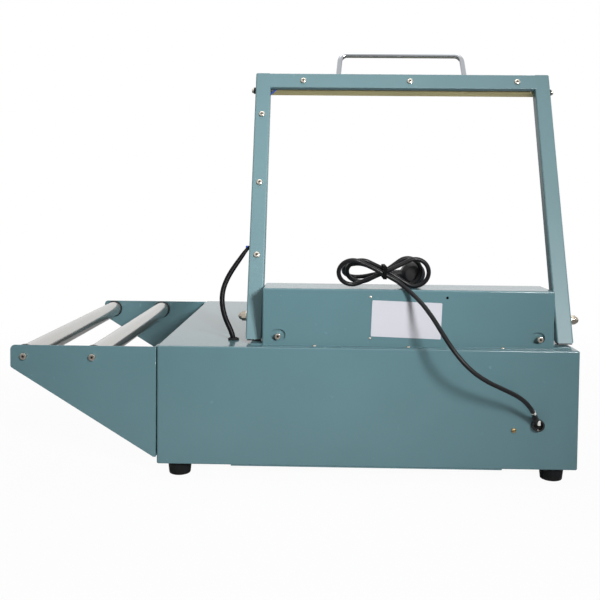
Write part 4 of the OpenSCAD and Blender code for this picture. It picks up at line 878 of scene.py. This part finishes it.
# %% Laminate strips, spacers, bands and tape
STRIP_LOW, STRIP_END, BAR_MIDDLE, POST_MIDDLE = -20, -70, -402, 169.5
BAR_SCREWS = [(x, BAR_MIDDLE) for x in (-256, -77, 102)]


def along_both(x0, x1, width, low, thick, easing):
    """A strip along the bar from x0 to x1 and one of the same width along the post."""
    half = width / 2
    bar_strip = slab((x0, BAR_MIDDLE - half, low), (x1, BAR_MIDDLE + half, low + thick), easing, 1)
    post_strip = slab((POST_MIDDLE - half, BAR_BACK, low), (POST_MIDDLE + half, STRIP_END, low + thick), easing, 1)
    return group([bar_strip, post_strip])


tongue = slab((-309, -413.5, STRIP_LOW), (181, -390.5, -10.3), 0.4)
front_strip = carve(slab((-284, -413.5, STRIP_LOW), (156, -390.5, -3), 0.4), [tongue], "UNION")
set_piece(front_strip, "front_strip", "front_carrier", ON_ARM)
set_piece(slab((160.5, BAR_BACK, STRIP_LOW), (178.5, STRIP_END, -10), 0.4), "side_strip", "side_carrier", ON_ARM)
spacer_spots = [place((x, y, -3)) for x, y in BAR_SCREWS]
set_piece(repeated(ring(2.55, 4.5, 11.5, 0.3, 40), spacer_spots), "white_spacers", "bar_spacers", ON_ARM)
set_piece(along_both(-283, 180, 4, STRIP_LOW - 0.4, 0.4, 0.08), "band_strips", "heating_bands", ON_ARM)
set_piece(along_both(-284, 181, 16, STRIP_LOW - 0.7, 0.3, 0.06), "tape_strips", "seal_tapes", ON_ARM)

# %% [markdown]
# ## Handle and jumper
# The handle is a chrome rod bent twice, with legs that lean inwards by five degrees. A curve through its arcs with a
# round bevel is the rod itself. A short blue wire joins the two bands at the arm's corner.

# %% Bent handle and blue wire
HANDLE_X, HALF_FOOT, BEND_R, LEAN = -63, 106, 13, math.radians(5)
HANDLE_Y, HANDLE_Z, RISE, ARC_STEPS = -414.5, 4.75, 40, 12
leg = (RISE - BEND_R + BEND_R * math.sin(LEAN)) / math.cos(LEAN)
half_top = HALF_FOOT - BEND_R * math.cos(LEAN) - leg * math.sin(LEAN)
half_rod = [(HALF_FOOT, 0)]
for k in range(ARC_STEPS + 1):
    angle = LEAN + (math.pi / 2 - LEAN) * k / ARC_STEPS
    half_rod.append((half_top + BEND_R * math.cos(angle), RISE - BEND_R + BEND_R * math.sin(angle)))
rod_points = [(HANDLE_X + x, HANDLE_Y - u, HANDLE_Z) for x, u in half_rod + [(-x, u) for x, u in reversed(half_rod)]]
keep_curve(round_curve("bent_handle", rod_points, 4.3, ON_ARM, "POLY", sides=8), "arm_handle", ["arm_handle"])
jumper = [(158, -383.5, -4), (155, -385.5, -3.5), (151, -389, -2.5), (147, -392.5, -1.3), (143, -396, -1)]
jumper_tube = curve_as_mesh(round_curve("jumper", jumper, 1.4, ON_ARM))
trim(jumper_tube, "blue_jumper", "arm_post_right", "wire_blue", IN_METRES)

# %% [markdown]
# ## Roller cradle
# Each bracket is a plate with a long sloping lower edge, folded inwards along the cabinet's side. The rollers
# are drawn tubes with black end caps, and turn on axles held by screws through the brackets.

# %% Brackets and rollers
CRADLE_X0, CRADLE_X1, CRADLE_LOW, CRADLE_TOP, CRADLE_SHEET = 311.3, 527.5, 32, 196.5, 2
AXLE_Z, TUBE_HALF, ROLLERS = 180, 253, {"inner": 405, "outer": 507}


def cradle_plate(y_outer, inwards):
    """A bracket with its two far corners rounded, and a flange along the cabinet's side."""
    outline = [(CRADLE_X0, CRADLE_LOW), (315, CRADLE_LOW), (CRADLE_X1, 163.5), (CRADLE_X1, CRADLE_TOP),
               (CRADLE_X0, CRADLE_TOP)]
    bm = bmesh.new()
    line = [bm.verts.new((x, y_outer, z)) for x, z in outline]
    bm.faces.new(line)
    for corner, radius in ((line[3], 7.0), (line[2], 2.5)):
        ease(bm, [corner], radius, 8, "VERTICES")
    push(bm, (0, CRADLE_SHEET * inwards, 0))
    ease(bm, level_edges(bm, 1), 0.45, 3)
    low_y, high_y = sorted((y_outer + 1.7 * inwards, y_outer + 27 * inwards))
    fold = slab((CRADLE_X0, low_y, CRADLE_LOW + 0.4), (CRADLE_X0 + CRADLE_SHEET, high_y, CRADLE_TOP - 0.5), 0.3)
    return carve(bm, [fold], "UNION")


set_piece(cradle_plate(REAR, -1), "cradle_plate_rear", "roller_bracket_rear")
set_piece(cradle_plate(-REAR, 1), "cradle_plate_front", "roller_bracket_front")
cap_section = [(5.05, 239), (12.9, 239), (12.9, TUBE_HALF), (16.6, TUBE_HALF), (17, 253.4), (17, 254.8), (16.2, 255.8),
               (14.8, 256), (7.5, 256), (7.0, 255.2), (5.05, 255.2)]
for word, x in ROLLERS.items():
    roller = repeated(ring(13, 15, 2 * TUBE_HALF, 0.4, 72), [place((x, -TUBE_HALF, AXLE_Z), BACK)])
    set_piece(roller, word + "_tube", word + "_roller")
    ends = [place((x, 0, AXLE_Z), way) for way in (FRONT, BACK)]
    set_piece(repeated(turned(cap_section, steps=56, closed=True), ends), word + "_caps", word + "_roller_caps")

# %% [markdown]
# ## Screws
# All screws are turned with a domed or plain head, and a cross, a slot or a hexagon is cut into the head. The walls
# of the cut get a dull dark finish, painted shade for the shadow inside the cut. One table lists each kind with its
# head, shank and places, so that a new screw is one line.

# %% Screw heads
def screw(head, height, shank, reach, drive):
    """A screw along Z with the underside of its head at the origin."""
    section = [(0, -reach), (shank, -reach), (shank, 0), (head - 0.2, 0), (head, 0.2)]
    if drive != "hexagon":
        section += [(head, 0.42 * height), (0.95 * head, 0.68 * height), (0.8 * head, 0.88 * height),
                    (0.55 * head, 0.98 * height), (0, height)]
    else:
        section += [(head, height - 0.7), (head - 0.25, height - 0.2), (head - 0.7, height), (0, height)]
    depth = 0.6 * height
    floor_z, top = height - depth, height + 1
    long, thin = 0.56 * head, 0.13 * head
    if drive == "cross":
        tools = [slab((-a, -b, floor_z), (a, b, top), 0) for a, b in ((long, thin), (thin, long))]
    elif drive == "slot":
        tools = [slab((-head - 1, -thin, floor_z), (head + 1, thin, top), 0)]
    else:
        tools = [rod(0.4 * head, (0, 0, floor_z), UP, depth + 1, 6)]
    made = carve(turned(section, steps=36), tools)
    # The walls and floor of the cut take the second finish, a dull dark one that paints the shade inside the cut.
    for face in made.faces:
        spot = face.calc_center_median()
        cut = spot.z > floor_z - 0.01 and math.hypot(spot.x, spot.y) < 0.62 * head and face.normal.z < 0.3
        face.material_index = 1 if cut or abs(spot.z - floor_z) < 0.01 and face.normal.z > 0.9 else 0
    return made


print("screw heads ready")

# %% One table of screws
ARM_SIDES = [(POSTS["right"] + POST_W, RIGHT), (POSTS["left"], LEFT)]
TERMINAL_Y, BUSH_H, SPIN_STEP, FIRST_SPIN = -388, 3.7, 37, 10
screw_table = [
    ("bar_and_post_screws", "carrier_screws", ON_ARM, (5, 3.2, 2.5, 25), "cross",
     [((x, y, POST_HALF), UP) for x, y in BAR_SCREWS] + [((POST_MIDDLE, -u, POST_HALF), UP) for u in (95, 217, 339)]),
    ("flange_screws", "hinge_cover_screws", ON_CABINET, (3, 2.0, 1.5, 7), "cross",
     [((-60.5 + k * 138, y, TABLE + SHEET), UP) for k in (-1, 0, 1) for y in (HUMP_REAR + 4.5, HUMP_FRONT - 4.5)]),
    ("axle_screws", "roller_screws", ON_CABINET, (5, 5.0, 3, 16), "hexagon",
     [((x, way[1] * REAR, AXLE_Z), way) for x in ROLLERS.values() for way in (FRONT, BACK)]),
    ("cradle_bolts", "roller_bracket_bolts", ON_CABINET, (5, 3.2, 3, 8.5), "hexagon",
     [((312, s * 245.5, 110 + k * 58.667), RIGHT) for s in (-1, 1) for k in (-1, 0, 1)]),
    ("band_screws", "terminal_screws", ON_ARM, (4, 3.2, 2.5, 9), "cross",
     [((x + BUSH_H * way[0], TERMINAL_Y, 0), way) for x, way in ARM_SIDES]),
    ("earth_slotted", "earth_screw", ON_CABINET, (3.5, 2.2, 2, 7.5), "slot", [((-215.5, REAR, 80), BACK)]),
    ("hinge_screws", "hinge_bracket_screws", ON_CABINET, (5, 3.2, 3, 9.5), "cross",
     [((x, y, TABLE + 3), UP) for x, y in ((141.5, 192.5), (114.5, 230.5), (-262.5, 192.5), (-235.5, 230.5))]),
    ("cover_screws", "bottom_cover_screws", ON_CABINET, (5, 3.2, 2.5, 7.5), "cross",
     [((s * 195, y, BASE - 2), DOWN) for s in (-1, 1) for y in (-218, 0, 218)]),
    ("feet_screws", "foot_screws", ON_CABINET, (5, 3.2, 2.5, 17.5), "cross", [((x, y, 11), DOWN) for x, y in FEET]),
    ("grip_screws", "handle_screws", ON_ARM, (3.25, 2.2, 2, 12.5), "cross",
     [((HANDLE_X + s * HALF_FOOT, HANDLE_Y + SHEET, HANDLE_Z), BACK) for s in (-1, 1)]),
]
# Each screw's second finish is the painted shade in its cut.
for name, node, drawing, sizes, drive, spots in screw_table:
    spins = [place(spot, way, SPIN_STEP * k + FIRST_SPIN) for k, (spot, way) in enumerate(spots)]
    set_piece(repeated(screw(*sizes, drive), spins), name, node, drawing, inner="recess")

# %% [markdown]
# ## Nuts, washers and bushes
# A dome nut is a hexagon with eased edges and a turned dome on it. The spring screws have a socket head outside the
# hinge bracket and a hexagon nut inside. Washers and terminal bushes are turned rings.

# %% Nuts, washers and bushes
WASHER_H, DOME_R, DOME_Z, DOME_FOOT = 1.4, 5.7, 6.0, 5.0


def hexagon_nut(flats, height, low=0):
    nut = rod(flats / 2 / math.cos(math.radians(30)), (0, 0, low), UP, height, 6)
    ease(nut, nut.edges, 0.5, 2)
    return nut


def dome_arc(radius, height, steps):
    """Points of a quarter circle from its rim towards its top; the last step, to the axis, is left out."""
    angles = [math.pi / 2 * k / steps for k in range(steps)]
    return [(radius * math.cos(a), height + radius * math.sin(a)) for a in angles]


nut_dome = [(0, DOME_FOOT), (DOME_R, DOME_FOOT)] + dome_arc(DOME_R, DOME_Z, 12) + [(0, DOME_Z + DOME_R)]
dome_nut = group([hexagon_nut(13, 6.3), turned(nut_dome, steps=48)])
ends = [(Vector((x, PIVOT_Y, PIVOT_Z)), way) for x, way in ARM_SIDES]
outer = [place(spot + WASHER_H * Vector(way), way, 12) for spot, way in ends]
# The dome nuts take the darker nickel, which paints their shade.
set_piece(repeated(dome_nut, outer), "capped_nuts", "dome_nuts", finish="nut_nickel")
set_piece(repeated(ring(4.2, 8.5, WASHER_H), [place(*end) for end in ends]), "nut_washers", "pivot_washers")
bush_ends = [place((x, TERMINAL_Y, 0), way) for x, way in ARM_SIDES]
set_piece(repeated(ring(2.55, 5.5, BUSH_H, 0.8), bush_ends), "terminal_rings", "terminal_bushes", ON_ARM)
adjuster = group([screw(4.35, 5.0, 3, 21, "hexagon"), hexagon_nut(10.2, 5, -14)])
springs_at = [place((x, 252.5, 213.5), BACK, 20) for x in (131.9, -252.9)]
# The sockets of the spring screws take the same painted shade.
set_piece(repeated(adjuster, springs_at), "spring_adjusters", "spring_screws", inner="recess")

# %% [markdown]
# ## Lift springs
# Inside the hinge cover two coil springs help to lift the arm. Each runs from the tip of its screw to a pin on a
# crank that turns with the arm. The coil's mesh stays in the model's frame and joins neither body.

# %% Coil springs
COIL_TURNS, COIL_STEPS, COIL_R, COIL_LENGTH = 7, 140, 5.1, 27.77


def coil_points(hinge_x, inward):
    """A coil whose ends run into the middle, from the screw's tip up to the crank's pin."""
    foot, way = Vector((hinge_x - 20.6 * inward, PIVOT_Y + 23.8, TABLE + 15.5)), Vector((0, -0.0146, 0.9999))
    side = Vector((inward, 0, 0))
    up = way.cross(side)
    points = []
    for s in [k / COIL_STEPS for k in range(COIL_STEPS + 1)]:
        swell = COIL_R * max(0.0, min(1.0, (s - 0.12) / 0.1, (0.88 - s) / 0.1))
        angle = math.radians(360 * COIL_TURNS * s) * inward
        points.append(foot + COIL_LENGTH * s * way + swell * (math.cos(angle) * side + math.sin(angle) * up))
    return points


for word, hinge_x, inward in (("right", HINGE_X1, 1), ("left", HINGE_X0, -1)):
    coil = coil_points(hinge_x, inward)
    tube = curve_as_mesh(round_curve("coil", coil, 0.9, kind="POLY", sides=2))
    set_piece(tube, "lift_coil_" + word, "lift_springs", IN_METRES, bend=(ON_CABINET @ (coil[0] + Vector((0, 0, 4))),
              ON_CABINET @ (coil[-1] - Vector((0, 0, 2)))))

# %% [markdown]
# ## Brackets, cranks, jaws and switches
# These are right in the CAD model but for their knife edges, so copies of the solids get eased edges.

# %% Eased copies of plain solids
eased = [("hinge_bracket_right", 0.5), ("hinge_bracket_left", 0.5), ("lift_cranks", 0.5), ("lower_jaws", 0.4),
         ("jaw_pads", 1.0), ("arm_switch", 0.4), ("power_switch", 0.5), ("power_rocker", 0.4)]
for node, width in eased:
    set_piece(eased_solid(node, width), node + "_eased", node, IN_FRAME)

# %% [markdown]
# ## Controls on the front
# The front faces away from the camera, so its controls are plain ones: a rocker switch, a pilot lamp and a timer
# knob with a white pointer and a ring of marks.

# %% Knob, marks and pilot lamp
KNOB_H, LENS_R = 18, 4.7
grip_section = [(0, -12.5), (3, -12.5), (3, 3.5), (13.2, 3.5), (14, 4.2), (14, 14.5), (13.4, 16.6), (12.0, 17.7),
                (10.5, KNOB_H), (0, KNOB_H)]
grooves = [rod(2.5, (15 * math.sin(a), 15 * math.cos(a), 7), UP, 14, 24)
           for a in [math.radians(36 * (k + 0.5)) for k in range(10)]]
set_piece(repeated(carve(turned(grip_section, steps=80), grooves), [place(KNOB, FRONT)]), "timer_grip", "time_knob")
pointer = slab((-0.7, -0.2, 3), (0.7, 0.1, 13), 0.05, 1)
mark = slab((-0.4, -0.15, 18), (0.4, 0.05, 21.5), 0.04, 1)
marks = [Matrix.Translation(KNOB) @ Matrix.Rotation(math.radians(a), 4, "Y") for a in range(-135, 136, 27)]
at_first_mark = Matrix.Translation((0, -KNOB_H, 0)) @ marks[0]
trim(repeated(pointer, [at_first_mark]), "timer_pointer", "time_knob", "nylon_white")
trim(repeated(mark, marks), "timer_marks", "cabinet_shell", "nylon_white")
bezel_section = [(0, -17.5), (5, -17.5), (5, 0), (6.6, 0), (7, 0.4), (7, 1.6), (6.4, 2.5), (4.9, 2.5), (LENS_R, 2.0),
                 (0, 2.0)]
set_piece(turned(bezel_section, LAMP, FRONT, 48), "lamp_bezel", "pilot_lamp", finish="black_plastic")
lens_section = [(0, 1.0), (LENS_R, 1.0)] + dome_arc(LENS_R, 1.8, 10) + [(0, 1.8 + LENS_R)]
trim(turned(lens_section, LAMP, FRONT, 48), "lamp_lens", "pilot_lamp")

# %% [markdown]
# ## The rest of the CAD solids
# What sits inside the cabinet or is right as it is keeps its CAD shape and takes a finish of this scene. The white
# spacers on the pivots get a dark finish instead, painted shade for the dark gap that they stand in.

# %% Finishes for the solids that stay
for node, thing in frame["nodes"].items():
    thing.data.materials.clear()
    # Painted shade: the pivot spacers take the dark finish.
    thing.data.materials.append(finishes["spacer_dark" if node == "pivot_spacers" else slot_of[node]])
print("finishes set on", len(frame["nodes"]), "solids")
